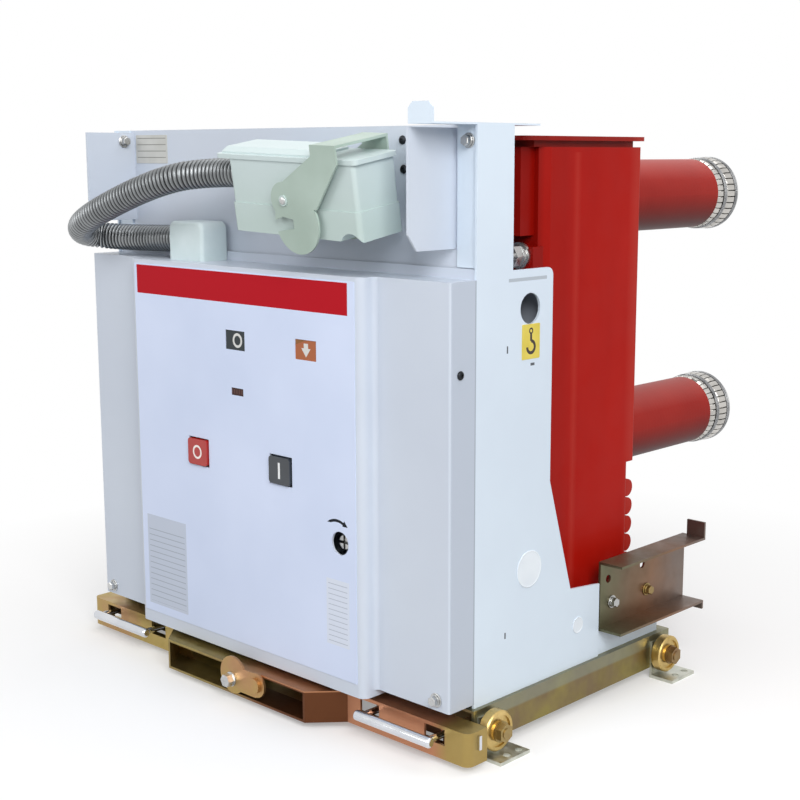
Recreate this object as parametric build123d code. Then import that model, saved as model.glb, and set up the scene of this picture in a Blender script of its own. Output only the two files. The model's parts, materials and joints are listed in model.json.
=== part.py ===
# Indoor withdrawable vacuum circuit breaker on a racking truck, one STEP file for each piece.
# Millimetres. X runs to the right seen from the front, Y runs back, Z runs up from the floor.
# Everything is placed from the front face of the cover (Y = 0) and shifted to the middle at the end.
import math
import os

from build123d import *

os.makedirs("parts", exist_ok=True)

# driving dimensions of the frame
FRAME_W = 638.0          # over the side plates
COVER_Z0 = 60.0          # bottom of the front cover
COVER_Z1 = 524.0         # top of the front cover
ROOF_Z = 683.0           # top of the side plates
STEP_Z = 531.0           # top of the deep lower part of the side plates
STEP_Y = 168.0           # depth of the mechanism housing
TOP_Y = 99.0             # depth of the narrow upper part
SIDE_Y0 = 40.0           # front edge of the side plates
SHEET = 3.0              # side plates and frame sheets
SKIN = 2.0               # front cover sheet
HALF = FRAME_W / 2
INNER = HALF - SHEET

# front cover
RAISE_HALF = 209.0       # half width of the raised middle
RAISE_EDGE = 10.5        # rounded border beside the film
FILM_HALF = RAISE_HALF - RAISE_EDGE
RAISE_Y = -20.0          # front of the raised middle
RAISE_Z0 = 52.0          # its lower edge
LIP_Z = 535.0            # top of the upright lip
LIP_Y = 42.0
FILM = 0.8               # thickness of the control panel film
FILM_Z1 = 519.0
FILM_Z0 = 68.0

# control panel openings: middle X, middle Z, width, height
WINDOW_POS = (-2.7, 438.2, 35.0, 23.0)
WINDOW_SPRING = (120.2, 438.2, 35.0, 23.0)
WINDOW_COUNT = (-0.5, 377.2, 22.0, 9.0)
BUTTON_W = 36.0
BUTTON_H = 32.0
BUTTON_GAP = 1.5
BUTTON_OPEN_X = -76.6
BUTTON_CLOSE_X = 75.0
BUTTON_Z = 294.4
BUTTON_OUT = 3.0         # how far the caps stand out of the film
BUTTON_DEEP = 14.0
CRANK_X = FILM_HALF - 25.5
CRANK_Z = 226.4
CRANK_HOLE_R = 13.5
CRANK_R = 8.0

# wall behind the plug, with its two ears
WALL_Y = 46.0
EAR_X = HALF - 34.0
EAR_Y = -27.0
EAR_Z0 = 555.0
EAR_Z0_LEFT = 568.0      # higher, the hose passes under it
EAR_T = 2.5

# poles and arms
PITCH = 210.0
POLE_HALF = 82.0
POLE_REAR = 370.0
POLE_FACE = 18.0         # the body starts this far behind the mounting flange
POLE_STEP_Z = 277.0      # below it the body is shallower
LOW_REAR = 358.0
POLE_Z0 = 118.0
POLE_Z1 = 661.0
LID_Z0 = 668.0
LID_Z1 = 673.0
ARM_R = 46.0
ARM_UP_Z = 600.0
ARM_SPACING = 300.0
ARM_LOW_Z = ARM_UP_Z - ARM_SPACING
ARM_END = 604.0
RIB_PITCH = 23.5
RIB_TOP_Z = 243.0
RIB_COUNT = 5
RIB_R = 11.0

# finger contacts
TULIP_OUT = 50.0         # outer radius over the fingers
TULIP_IN = 30.0          # inner radius of the finger ring
TULIP_LEN = 54.0
FINGERS = 18
FINGER_GAP = 3.0
STUD_R = 24.5            # radius of the fixed stud that the fingers grip

# truck below
RAIL_TOP = 55.0
RAIL_BOTTOM = 13.0
RAIL_X = HALF + 5.0      # outer face of the side rails
RAIL_IN = RAIL_X - 28.0
RAIL_Y0 = 34.0
RAIL_Y1 = 412.0
RAIL_T = 3.0
WHEEL_R = 23.0
AXLE_R = 6.0
AXLE_Z = 31.0
AXLE_FRONT = 57.0
AXLE_REAR = 388.0
WHEEL_X0 = RAIL_X + 5.0
WHEEL_X1 = WHEEL_X0 + 13.0
RUN = 0.1                # radial running clearance
NUT_X = WHEEL_X1 + 11.0
FOOT_T = 4.0
FOOT_X = RAIL_X + 34.0
FOOT_Y0 = -17.0          # foot ends, from its axle
FOOT_Y1 = 33.0
FOOT_HOLE_X = RAIL_X + 25.0
FOOT_HOLE_R = 4.5
FOOT_HOLES = (4.0, 24.0)

# racking beam in front of the truck
BEAM_HALF = HALF + 29.0
BEAM_Y0 = -2.0
BEAM_Y1 = 29.0
BEAM_Z0 = 8.0
BEAM_Z1 = 46.0
BEAM_T = 3.0
HOOD_Y = -38.0
HOOD_HALF = 129.0
HOOD_BACK = 163.0
SCREW_Z = 28.0
SCREW_R = 9.0
RACK_TRAVEL = 200.0
HANDLE_X0 = 197.0
HANDLE_X1 = 313.0
HANDLE_Y = -22.0
HANDLE_Z = 33.0
HANDLE_R = 6.0

# plug and hose
PLUG_AT = (127.0, -12.0, 610.5)
PLUG_PITCH = 10.0
PLUG_ROLL = 2.0
PLUG_W = 200.0
PLUG_D = 62.0
PLUG_H = 81.0
RIB_H = 32.0             # height of the thick band round the plug's foot
LID_OUT = 20.0           # how far the lid stands past the left end
LEVER_GAP = 6.0
LEVER_T = 2.5
HOSE_D = 34.0
GLAND_X0 = -158.0
GLAND_X1 = -91.0
GLAND_Z1 = 571.5

FLAT = 0.3               # gap between curved faces of neighbouring pieces


def box(x0, x1, y0, y1, z0, z1):
    """A plain block between two corners."""
    size = Box(abs(x1 - x0), abs(y1 - y0), abs(z1 - z0))
    return Pos((x0 + x1) / 2, (y0 + y1) / 2, (z0 + z1) / 2) * size


def along_x(r, x0, x1, y, z):
    """A round bar lying left to right."""
    return Pos((x0 + x1) / 2, y, z) * Rot(0, 90, 0) * Cylinder(r, abs(x1 - x0))


def along_y(r, y0, y1, x, z):
    """A round bar lying front to back."""
    return Pos(x, (y0 + y1) / 2, z) * Rot(90, 0, 0) * Cylinder(r, abs(y1 - y0))


def along_z(r, z0, z1, x, y):
    """An upright round bar."""
    return Pos(x, y, (z0 + z1) / 2) * Cylinder(r, abs(z1 - z0))


def hex_y(across, y0, y1, x, z):
    """A hexagon bar lying front to back, across its flats."""
    face = RegularPolygon(across / 2, 6, major_radius=False)
    return Pos(x, y0, z) * Rot(-90, 0, 0) * extrude(face, amount=y1 - y0)


def hex_x(across, x0, x1, y, z):
    """A hexagon bar lying left to right, across its flats."""
    face = RegularPolygon(across / 2, 6, major_radius=False)
    return Pos(min(x0, x1), y, z) * Rot(0, 90, 0) * extrude(face, amount=abs(x1 - x0))


def plate_yz(points, x0, x1):
    """A flat plate of the given (Y, Z) outline between two X values."""
    face = make_face(Polyline([(0, y, z) for y, z in points], close=True))
    return Pos(min(x0, x1), 0, 0) * extrude(face, amount=abs(x1 - x0), dir=(1, 0, 0))


def plate_xz(points, y0, y1):
    """A flat plate of the given (X, Z) outline between two Y values."""
    face = make_face(Polyline([(x, 0, z) for x, z in points], close=True))
    return Pos(0, min(y0, y1), 0) * extrude(face, amount=abs(y1 - y0), dir=(0, 1, 0))


def plate_xy(points, z0, z1):
    """A flat plate of the given (X, Y) outline between two Z values."""
    face = make_face(Polyline([(x, y, 0) for x, y in points], close=True))
    return Pos(0, 0, min(z0, z1)) * extrude(face, amount=abs(z1 - z0), dir=(0, 0, 1))


def round_edges(shape, axis, radius, pick):
    """Round the edges along an axis whose middle the test picks."""
    edges = [e for e in shape.edges().filter_by(axis) if pick(e.center())]
    return fillet(edges, radius)


def mirrored(shape):
    """The same piece on the other side of the middle."""
    return mirror(shape, about=Plane.YZ)


pieces = {}

# Front cover: a sheet shell, flat flanks, a raised middle with rounded steps.
outer = box(-HALF, HALF, 0, SIDE_Y0, COVER_Z0, COVER_Z1)
outer = round_edges(outer, Axis.Z, 3.0, lambda c: c.Y < 1)
raised = box(-RAISE_HALF, RAISE_HALF, RAISE_Y, SIDE_Y0, RAISE_Z0, COVER_Z1)
raised = round_edges(raised, Axis.Z, RAISE_EDGE - 0.5, lambda c: c.Y < RAISE_Y + 1)
back_edge = box(-INNER, INNER, SIDE_Y0, LIP_Y + SKIN, COVER_Z1 - SKIN, COVER_Z1)
hollow = box(-HALF + SKIN, HALF - SKIN, SKIN, SIDE_Y0 + 1, COVER_Z0 + SKIN, COVER_Z1 - SKIN)
hollow_mid = box(-RAISE_HALF + SKIN, RAISE_HALF - SKIN, RAISE_Y + SKIN, SIDE_Y0 + 1,
                 RAISE_Z0 + SKIN, COVER_Z1 - SKIN)
hollow_mid = round_edges(hollow_mid, Axis.Z, 8.0, lambda c: c.Y < RAISE_Y + SKIN + 1)
cover = outer + raised
cover = fillet([e for e in cover.edges().filter_by(Axis.Z) if abs(e.center().Y) < 0.1
                and abs(abs(e.center().X) - RAISE_HALF) < 0.1], 6.0)
cover += back_edge
cover += box(-INNER, INNER, LIP_Y, LIP_Y + SKIN, COVER_Z1 - SKIN, LIP_Z)
cover -= hollow
cover -= hollow_mid
openings = []
for mid_x, mid_z, wide, high in (WINDOW_POS, WINDOW_SPRING, WINDOW_COUNT):
    openings.append(box(mid_x - wide / 2, mid_x + wide / 2, RAISE_Y - 5, RAISE_Y + 5,
                        mid_z - high / 2, mid_z + high / 2))
for mid_x in (BUTTON_OPEN_X, BUTTON_CLOSE_X):
    wide = BUTTON_W / 2 + BUTTON_GAP
    high = BUTTON_H / 2 + BUTTON_GAP
    openings.append(box(mid_x - wide, mid_x + wide, RAISE_Y - 5, RAISE_Y + 5,
                        BUTTON_Z - high, BUTTON_Z + high))
openings.append(along_y(CRANK_HOLE_R, RAISE_Y - 5, RAISE_Y + 5, CRANK_X, CRANK_Z))
for cut in openings:
    cover -= cut
pieces["front_cover"] = cover

film = box(-FILM_HALF, FILM_HALF, RAISE_Y - FILM, RAISE_Y, FILM_Z0, FILM_Z1)
for cut in openings:
    film -= cut
pieces["control_panel"] = film

# Windows sit in their openings, a little behind the film.
panes = []
for mid_x, mid_z, wide, high in (WINDOW_POS, WINDOW_SPRING, WINDOW_COUNT):
    panes.append(box(mid_x - wide / 2, mid_x + wide / 2, RAISE_Y, RAISE_Y + 4,
                     mid_z - high / 2, mid_z + high / 2))
pieces["indicator_windows"] = panes

# Push buttons: a cap and a guide pin that runs in the wall behind.
PIN_R = 4.0
for name, mid_x in (("button_open", BUTTON_OPEN_X), ("button_close", BUTTON_CLOSE_X)):
    cap = box(mid_x - BUTTON_W / 2, mid_x + BUTTON_W / 2, RAISE_Y - FILM - BUTTON_OUT,
              RAISE_Y - FILM - BUTTON_OUT + BUTTON_DEEP,
              BUTTON_Z - BUTTON_H / 2, BUTTON_Z + BUTTON_H / 2)
    cap = round_edges(cap, Axis.Y, 4.0, lambda c: True)
    cap += along_y(PIN_R, RAISE_Y, WALL_Y + SHEET + 6, mid_x, BUTTON_Z)
    pieces[name] = cap

# Crank socket: a short shaft behind its hole, with a cross slot in the end.
socket = along_y(CRANK_R, RAISE_Y + 6, WALL_Y + SHEET + 10, CRANK_X, CRANK_Z)
socket += along_y(CRANK_R + 3, WALL_Y - 6, WALL_Y - 1, CRANK_X, CRANK_Z)
socket += along_y(CRANK_R + 3, WALL_Y + SHEET + 1, WALL_Y + SHEET + 6, CRANK_X, CRANK_Z)
socket -= box(CRANK_X - 20, CRANK_X + 20, RAISE_Y, RAISE_Y + 12, CRANK_Z - 1.6, CRANK_Z + 1.6)
socket -= box(CRANK_X - 1.6, CRANK_X + 1.6, RAISE_Y, RAISE_Y + 12, CRANK_Z - 20, CRANK_Z + 20)
pieces["crank_socket"] = socket

# Wall behind the cover, running up to the roof, with an ear folded forward at each end.
wall = box(-INNER, INNER, WALL_Y, WALL_Y + SHEET, RAIL_TOP + SHEET, ROOF_Z - SHEET)
ear = [(EAR_Y, EAR_Z0 + 17), (EAR_Y + 13, EAR_Z0), (WALL_Y, EAR_Z0), (WALL_Y, ROOF_Z - SHEET),
       (EAR_Y, ROOF_Z - SHEET)]
ear_left = [(EAR_Y, EAR_Z0_LEFT + 17), (EAR_Y + 13, EAR_Z0_LEFT), (WALL_Y, EAR_Z0_LEFT),
            (WALL_Y, ROOF_Z - SHEET), (EAR_Y, ROOF_Z - SHEET)]
wall += plate_yz(ear, EAR_X - EAR_T, EAR_X)
wall += plate_yz(ear_left, -EAR_X, -EAR_X + EAR_T)
for mid_x in (BUTTON_OPEN_X, BUTTON_CLOSE_X):
    wall -= along_y(PIN_R + RUN, WALL_Y - 5, WALL_Y + SHEET + 5, mid_x, BUTTON_Z)
wall -= along_y(CRANK_R + RUN, WALL_Y - 5, WALL_Y + SHEET + 5, CRANK_X, CRANK_Z)
pieces["front_wall"] = wall

# Side plates: deep below, narrow above, with folded edges at the rear and the front.
SHELF_Z = 146.0
SHELF_Y = 267.0
SLANT_Z = 289.0
side = [(SIDE_Y0, RAIL_TOP), (SHELF_Y, RAIL_TOP), (SHELF_Y, SHELF_Z), (STEP_Y + 42, SHELF_Z + 6),
        (STEP_Y, SLANT_Z), (STEP_Y, STEP_Z), (TOP_Y, STEP_Z), (TOP_Y, ROOF_Z), (SIDE_Y0, ROOF_Z)]
plate = plate_yz(side, INNER, HALF)
plate = round_edges(plate, Axis.X, 9.0, lambda c: abs(c.Y - STEP_Y) < 1 and c.Z > SLANT_Z + 5)
plate -= along_x(17.0, INNER - 5, HALF + 5, 129.0, 488.0)
fold = 16.0
plate += box(HALF - fold - SHEET, INNER, STEP_Y - SHEET, STEP_Y, SLANT_Z, STEP_Z - 9)
plate += box(HALF - fold - SHEET, INNER, TOP_Y - SHEET, TOP_Y, STEP_Z + 1, ROOF_Z - SHEET)
plate += box(EAR_X + 4, INNER, WALL_Y - SHEET, WALL_Y, LIP_Z + 1, ROOF_Z)
pieces["side_plate_right"] = plate
pieces["side_plate_left"] = mirrored(plate)

# Sheets that close the housing.
pieces["top_rail"] = (
    box(-INNER, INNER, WALL_Y, TOP_Y, ROOF_Z - SHEET, ROOF_Z)
    + box(-INNER + fold, INNER - fold, TOP_Y - SHEET, TOP_Y, ROOF_Z - 34, ROOF_Z))
DECK_Z = STEP_Z - 9
pieces["top_deck"] = box(-INNER, INNER, WALL_Y + SHEET, STEP_Y - SHEET, DECK_Z - SHEET, DECK_Z)
back = box(-INNER + fold, INNER - fold, STEP_Y - SHEET, STEP_Y, RAIL_TOP + SHEET, DECK_Z)
pieces["back_plate"] = back

TRAY_Y1 = 396.0
tray = box(-INNER, INNER, WALL_Y, TRAY_Y1, RAIL_TOP, RAIL_TOP + SHEET)
tray += box(-INNER, INNER, TRAY_Y1 - SHEET, TRAY_Y1, RAIL_TOP, RAIL_TOP + 18)
for sign in (-1, 1):
    tray += box(sign * (INNER - SHEET), sign * INNER, STEP_Y + SHEET, TRAY_Y1,
                RAIL_TOP, RAIL_TOP + 18)
    tray += box(sign * (INNER - SHEET), sign * INNER, SHELF_Y - 25, TRAY_Y1,
                RAIL_TOP, RAIL_TOP + 77)
pieces["base_tray"] = tray

# Roof guide on the right with its bent-up tongue.
GUIDE_Y1 = 142.0
guide = box(EAR_X, HALF, EAR_Y, GUIDE_Y1, ROOF_Z, ROOF_Z + 2)
tongue = [(EAR_X, ROOF_Z), (HALF, ROOF_Z), (HALF, ROOF_Z + 16), (HALF - 6, ROOF_Z + 22),
          (EAR_X + 6, ROOF_Z + 22), (EAR_X, ROOF_Z + 16)]
guide += plate_xz(tongue, EAR_Y, EAR_Y + 2)
pieces["roof_guide"] = guide


def pole():
    """One moulded pole: flange, body, front block, lid on a neck, and ribs low on the rear."""
    face = STEP_Y + POLE_FACE
    body = box(-POLE_HALF, POLE_HALF, face, POLE_REAR, POLE_STEP_Z, POLE_Z1)
    body = chamfer([e for e in body.edges().filter_by(Axis.Z) if e.center().Y < face + 1], 10.0)
    body = round_edges(body, Axis.Z, 3.0, lambda c: c.Y > POLE_REAR - 1)
    low = box(-POLE_HALF, POLE_HALF, face, LOW_REAR, POLE_Z0, POLE_STEP_Z)
    low = chamfer([e for e in low.edges().filter_by(Axis.Z) if e.center().Y < face + 1], 10.0)
    low = round_edges(low, Axis.Z, 5.0, lambda c: c.Y > LOW_REAR - 1)
    flange = box(-POLE_HALF + 2, POLE_HALF - 2, STEP_Y, face, POLE_Z0, STEP_Z + 20)
    block = box(-POLE_HALF + 16, POLE_HALF - 16, STEP_Y - 6, face, STEP_Z + 32, POLE_Z1)
    neck = box(-POLE_HALF + 7, POLE_HALF - 7, STEP_Y + 6, POLE_REAR - 8, POLE_Z1, LID_Z0)
    lid = box(-POLE_HALF - 3, POLE_HALF + 3, STEP_Y - 24, POLE_REAR + 5, LID_Z0, LID_Z1)
    lid = round_edges(lid, Axis.Z, 6.0, lambda c: True)
    whole = body + low + flange + block + neck + lid
    for i in range(RIB_COUNT):
        z = RIB_TOP_Z - i * RIB_PITCH
        whole += along_x(RIB_R, -POLE_HALF + 1.5, POLE_HALF - 1.5, LOW_REAR + 2, z)
    return whole


def arm(z):
    """One sleeved arm from the pole to the finger contact."""
    return along_y(ARM_R, POLE_REAR, ARM_END, 0, z)


def tulip(z):
    """One ring of contact fingers round its hub, with spring grooves outside."""
    y0 = ARM_END
    y1 = ARM_END + TULIP_LEN
    out = TULIP_OUT
    groove = 2.5
    section = [(TULIP_IN, y0 + 4), (out - 9, y0 + 4), (out - 4, y0 + 9), (out - 4, y0 + 14),
               (out - 4 - groove, y0 + 14), (out - 4 - groove, y0 + 19), (out - 1, y0 + 19),
               (out, y0 + 24), (out, y0 + 36), (out - groove, y0 + 36), (out - groove, y0 + 41),
               (out, y0 + 41), (out - 2, y1 - 4), (out - 8, y1), (STUD_R + 6, y1),
               (STUD_R, y1 - 8), (STUD_R, y1 - 14), (TULIP_IN, y1 - 20)]
    face = make_face(Polyline([(r, y, 0) for r, y in section], close=True))
    ring = revolve(face, Axis.Y)
    slots = []
    for i in range(FINGERS):
        turn = 360.0 / FINGERS * (i + 0.5)
        slot = box(0, out + 5, y0 + 8, y1 + 5, -FINGER_GAP / 2, FINGER_GAP / 2)
        slots.append(Rot(0, turn, 0) * slot)
    ring = ring - slots
    hub = along_y(TULIP_IN, y0, y0 + 18, 0, 0)
    return Pos(0, 0, z) * (ring + hub)


one_pole = pole()
upper_arm = arm(ARM_UP_Z)
lower_arm = arm(ARM_LOW_Z)
tulip_ring = tulip(0)
for place, x in (("left", -PITCH), ("middle", 0.0), ("right", PITCH)):
    pieces["pole_" + place] = Pos(x, 0, 0) * one_pole
    pieces["contact_upper_" + place] = Pos(x, 0, ARM_UP_Z) * tulip_ring
    pieces["contact_lower_" + place] = Pos(x, 0, ARM_LOW_Z) * tulip_ring
columns = (-PITCH, 0.0, PITCH)
pieces["arms_upper"] = [Pos(x, 0, 0) * upper_arm for x in columns]
pieces["arms_lower"] = [Pos(x, 0, 0) * lower_arm for x in columns]

# Bolts that hold the poles, above the deck.
BOLT_Z = DECK_Z + 19
POLE_BOLT_X = POLE_HALF - 20
bolts = []
for x in columns:
    for side_x in (-POLE_BOLT_X, POLE_BOLT_X):
        bolt = along_y(15.0, STEP_Y - 4, STEP_Y, x + side_x, BOLT_Z)
        bolt += along_y(13.0, STEP_Y - 8, STEP_Y - 4, x + side_x, BOLT_Z)
        bolt += hex_y(22.0, STEP_Y - 20, STEP_Y - 8, x + side_x, BOLT_Z)
        bolt += along_y(6.0, STEP_Y - 32, STEP_Y - 20, x + side_x, BOLT_Z)
        bolts.append(bolt)
pieces["pole_bolts"] = bolts

# Rear guide channels on the tray edges.
CH_Z0 = 86.0
CH_Z1 = 172.0
CH_Y1 = 450.0
CH_X = HALF + 31.0
CH_HOLES = ((285.0, 148.0), (356.0, 151.0))
channel = box(INNER, HALF, SHELF_Y + 2, CH_Y1, CH_Z0, CH_Z1)
channel += box(INNER, CH_X, SHELF_Y + 2, CH_Y1, CH_Z1 - SHEET, CH_Z1)
channel += box(INNER, CH_X, SHELF_Y + 2, CH_Y1, CH_Z0, CH_Z0 + SHEET)
channel += box(HALF + 5, CH_X, CH_Y1 - SHEET, CH_Y1, CH_Z1 - SHEET, CH_Z1 + 20)
channel += box(HALF + 5, CH_X, CH_Y1 - SHEET, CH_Y1, CH_Z0 - 8, CH_Z0 + SHEET)
for y, z in CH_HOLES:
    channel -= along_x(5.0, INNER - 5, HALF + 5, y, z)
pieces["rear_channel_right"] = channel
pieces["rear_channel_left"] = mirrored(channel)

# Truck rails, cross bars, wheels, axles and feet.
rail = box(RAIL_X - RAIL_T, RAIL_X, RAIL_Y0, RAIL_Y1, RAIL_BOTTOM, RAIL_TOP)
rail += box(RAIL_IN, RAIL_X, RAIL_Y0, RAIL_Y1, RAIL_TOP - RAIL_T, RAIL_TOP)
rail += box(RAIL_IN, RAIL_X, RAIL_Y0, RAIL_Y1, RAIL_BOTTOM, RAIL_BOTTOM + RAIL_T)
for y in (AXLE_FRONT, AXLE_REAR):
    rail -= along_x(AXLE_R + FLAT, RAIL_X - 10, RAIL_X + 5, y, AXLE_Z)
pieces["truck_rail_right"] = rail
pieces["truck_rail_left"] = mirrored(rail)

CROSS_Y = 62.0
NUT_R = SCREW_R + RUN
front_bar = box(-RAIL_IN, RAIL_IN, CROSS_Y, CROSS_Y + RAIL_T, RAIL_BOTTOM, RAIL_TOP)
front_bar += box(-RAIL_IN, RAIL_IN, CROSS_Y, CROSS_Y + 22, RAIL_TOP - RAIL_T, RAIL_TOP)
front_bar -= along_y(SCREW_R + 4, CROSS_Y - 5, CROSS_Y + 10, 0, SCREW_Z)
rear_bar = box(-RAIL_IN, RAIL_IN, RAIL_Y1 - 25, RAIL_Y1 - 22, RAIL_BOTTOM, RAIL_TOP)
rear_bar += box(-RAIL_IN, RAIL_IN, RAIL_Y1 - 25, RAIL_Y1, RAIL_TOP - RAIL_T, RAIL_TOP)
pieces["truck_front_bar"] = front_bar
pieces["truck_rear_bar"] = rear_bar
nut = box(-22, 22, CROSS_Y + RAIL_T, CROSS_Y + RAIL_T + 30, RAIL_BOTTOM, RAIL_TOP - RAIL_T)
nut -= along_y(NUT_R, CROSS_Y, CROSS_Y + 60, 0, SCREW_Z)
pieces["lead_nut"] = nut

wheel = along_x(WHEEL_R, WHEEL_X0, WHEEL_X1, 0, 0)
wheel = chamfer(wheel.edges().filter_by(GeomType.CIRCLE), 1.5)
wheel -= along_x(WHEEL_R - 5, WHEEL_X1 - 2, WHEEL_X1 + 2, 0, 0)
wheel += along_x(AXLE_R + 5, WHEEL_X1 - 4, WHEEL_X1, 0, 0)
wheel -= along_x(AXLE_R + RUN, WHEEL_X0 - 5, WHEEL_X1 + 5, 0, 0)
axles = []
feet = []
for row, y in (("front", AXLE_FRONT), ("rear", AXLE_REAR)):
    pieces["wheel_" + row + "_right"] = Pos(0, y, AXLE_Z) * wheel
    pieces["wheel_" + row + "_left"] = mirrored(Pos(0, y, AXLE_Z) * wheel)
    axle = along_x(AXLE_R, RAIL_X - RAIL_T, NUT_X, y, AXLE_Z)
    axle += hex_x(18.0, RAIL_X - RAIL_T - 7, RAIL_X - RAIL_T, y, AXLE_Z)
    axle += along_x(AXLE_R + 4, RAIL_X + SHEET, WHEEL_X0 - 1, y, AXLE_Z)
    axle += along_x(AXLE_R + 6, WHEEL_X1 + 1, WHEEL_X1 + 3, y, AXLE_Z)
    axle += hex_x(19.0, WHEEL_X1 + 3, NUT_X - 1, y, AXLE_Z)
    foot = box(RAIL_X, RAIL_X + SHEET, y + FOOT_Y0, y - FOOT_Y0, 0, AXLE_Z + 16)
    foot += box(RAIL_X, FOOT_X, y + FOOT_Y0, y + FOOT_Y1, 0, FOOT_T)
    foot -= along_x(AXLE_R + FLAT, RAIL_X - 5, RAIL_X + 10, y, AXLE_Z)
    for hole in FOOT_HOLES:
        foot -= along_z(FOOT_HOLE_R, -5, FOOT_T + 5, FOOT_HOLE_X, y + hole)
    axles += [axle, mirrored(axle)]
    feet += [foot, mirrored(foot)]
pieces["axle_bolts"] = axles
pieces["transport_feet"] = feet

# Racking beam: a channel open to the rear, its ends closed and rounded.
beam = box(-BEAM_HALF, BEAM_HALF, BEAM_Y0, BEAM_Y1, BEAM_Z0, BEAM_Z1)
beam = round_edges(beam, Axis.Z, 9.0, lambda c: c.Y < BEAM_Y0 + 1)
beam -= box(-BEAM_HALF + BEAM_T, BEAM_HALF - BEAM_T, BEAM_Y0 + BEAM_T, BEAM_Y1 + 1,
            BEAM_Z0 + BEAM_T, BEAM_Z1 - BEAM_T)
beam -= box(-HOOD_HALF, HOOD_HALF, BEAM_Y0 - 1, BEAM_Y0 + BEAM_T + 1,
            BEAM_Z0 + BEAM_T, BEAM_Z1 - BEAM_T)
HANDLE_TRAVEL = 12.0
SLIDE_Y = 13.0
POST = 4.0
STRIP_T = 4.0
STRIP_H = 8.0
for sign in (-1, 1):
    for x in (HANDLE_X0 + 8, HANDLE_X1 - 8):
        beam -= box(sign * (x - HANDLE_TRAVEL - 9), sign * (x + 9), BEAM_Y0 - 1,
                    BEAM_Y0 + BEAM_T + 1, HANDLE_Z - POST - 5, HANDLE_Z + POST + 5)
    beam -= box(sign * (BEAM_HALF - 6), sign * (BEAM_HALF + 6), SLIDE_Y - RUN,
                SLIDE_Y + STRIP_T + RUN, HANDLE_Z - STRIP_H - RUN, HANDLE_Z + STRIP_H + RUN)
pieces["racking_beam"] = beam

# Hood over the screw end, open to the front.
hood_top = [(-HOOD_HALF, HOOD_Y), (HOOD_HALF, HOOD_Y), (HOOD_BACK, BEAM_Y0),
            (-HOOD_BACK, BEAM_Y0)]
hood = plate_xy(hood_top, BEAM_Z0, BEAM_Z1)
hood_in = [(-HOOD_HALF + 4, HOOD_Y - 1), (HOOD_HALF - 4, HOOD_Y - 1),
           (HOOD_BACK - 7, BEAM_Y0 + 1), (-HOOD_BACK + 7, BEAM_Y0 + 1)]
hood -= plate_xy(hood_in, BEAM_Z0 + BEAM_T, BEAM_Z1 - BEAM_T)
pieces["beam_hood"] = hood

# Bearing flange: a round lobe round the screw end and a small boss beside it.
LOBE_R = 23.0
BOSS_X = 46.0
bearing = along_y(LOBE_R, HOOD_Y - 3, HOOD_Y, 3.0, BEAM_Z1 - 12)
bearing += box(3.0, BOSS_X, HOOD_Y - 3, HOOD_Y, BEAM_Z0 + 8, BEAM_Z1)
bearing += along_y(15.0, HOOD_Y - 3, HOOD_Y, BOSS_X, SCREW_Z + 4)
bearing += along_y(9.0, HOOD_Y - 7, HOOD_Y - 3, BOSS_X, SCREW_Z + 4)
bearing += along_y(14.5, HOOD_Y, HOOD_Y + 8, 0, SCREW_Z)
bearing -= along_y(SCREW_R + RUN, HOOD_Y - 10, HOOD_Y + 20, 0, SCREW_Z)
pieces["screw_bearing"] = bearing

SCREW_Y1 = CROSS_Y + RAIL_T + RACK_TRAVEL + 60
screw = along_y(SCREW_R, HOOD_Y - 4, SCREW_Y1, 0, SCREW_Z)
screw += along_y(SCREW_R + 4, HOOD_Y + 9, HOOD_Y + 15, 0, SCREW_Z)
screw += hex_y(14.0, HOOD_Y - 13, HOOD_Y - 4, 0, SCREW_Z)
pieces["lead_screw"] = screw

# Guide arms of the beam, running inside the truck rails.
ARM_X0 = RAIL_IN + 5
arm_bars = []
for sign in (-1, 1):
    bar = box(sign * ARM_X0, sign * (ARM_X0 + 8), BEAM_Y1 - 6, CROSS_Y + RACK_TRAVEL + 60,
              RAIL_BOTTOM + RAIL_T + 6, RAIL_TOP - RAIL_T - 14)
    bar += box(sign * (ARM_X0 - 12), sign * (ARM_X0 + 8), BEAM_Y1 - 6, BEAM_Y1 - 3,
               BEAM_Z0 + BEAM_T, BEAM_Z1 - BEAM_T)
    arm_bars.append(bar)
pieces["beam_guide_arms"] = arm_bars


def handle():
    """Right handle: a round grip on two posts, and the lock strip behind the beam face."""
    grip = along_x(HANDLE_R, HANDLE_X0, HANDLE_X1, HANDLE_Y, HANDLE_Z)
    grip = fillet(grip.edges().filter_by(GeomType.CIRCLE), 3.0)
    whole = grip
    for x in (HANDLE_X0 + 8, HANDLE_X1 - 8):
        whole += along_y(POST, HANDLE_Y, SLIDE_Y + 1, x, HANDLE_Z)
    whole += box(HANDLE_X0 - 2, BEAM_HALF + 3, SLIDE_Y, SLIDE_Y + STRIP_T,
                 HANDLE_Z - STRIP_H, HANDLE_Z + STRIP_H)
    return whole


pieces["handle_right"] = handle()
pieces["handle_left"] = mirrored(pieces["handle_right"])

# Gland on top of the cover, where the hose comes out.
gland = box(GLAND_X0, GLAND_X1, 3, LIP_Y - 1, COVER_Z1, GLAND_Z1)
gland = round_edges(gland, Axis.Y, 10.0, lambda c: c.Z > COVER_Z1 + 9)
gland = round_edges(gland, Axis.Z, 5.0, lambda c: c.Y < 4)
pieces["hose_gland"] = gland

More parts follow.
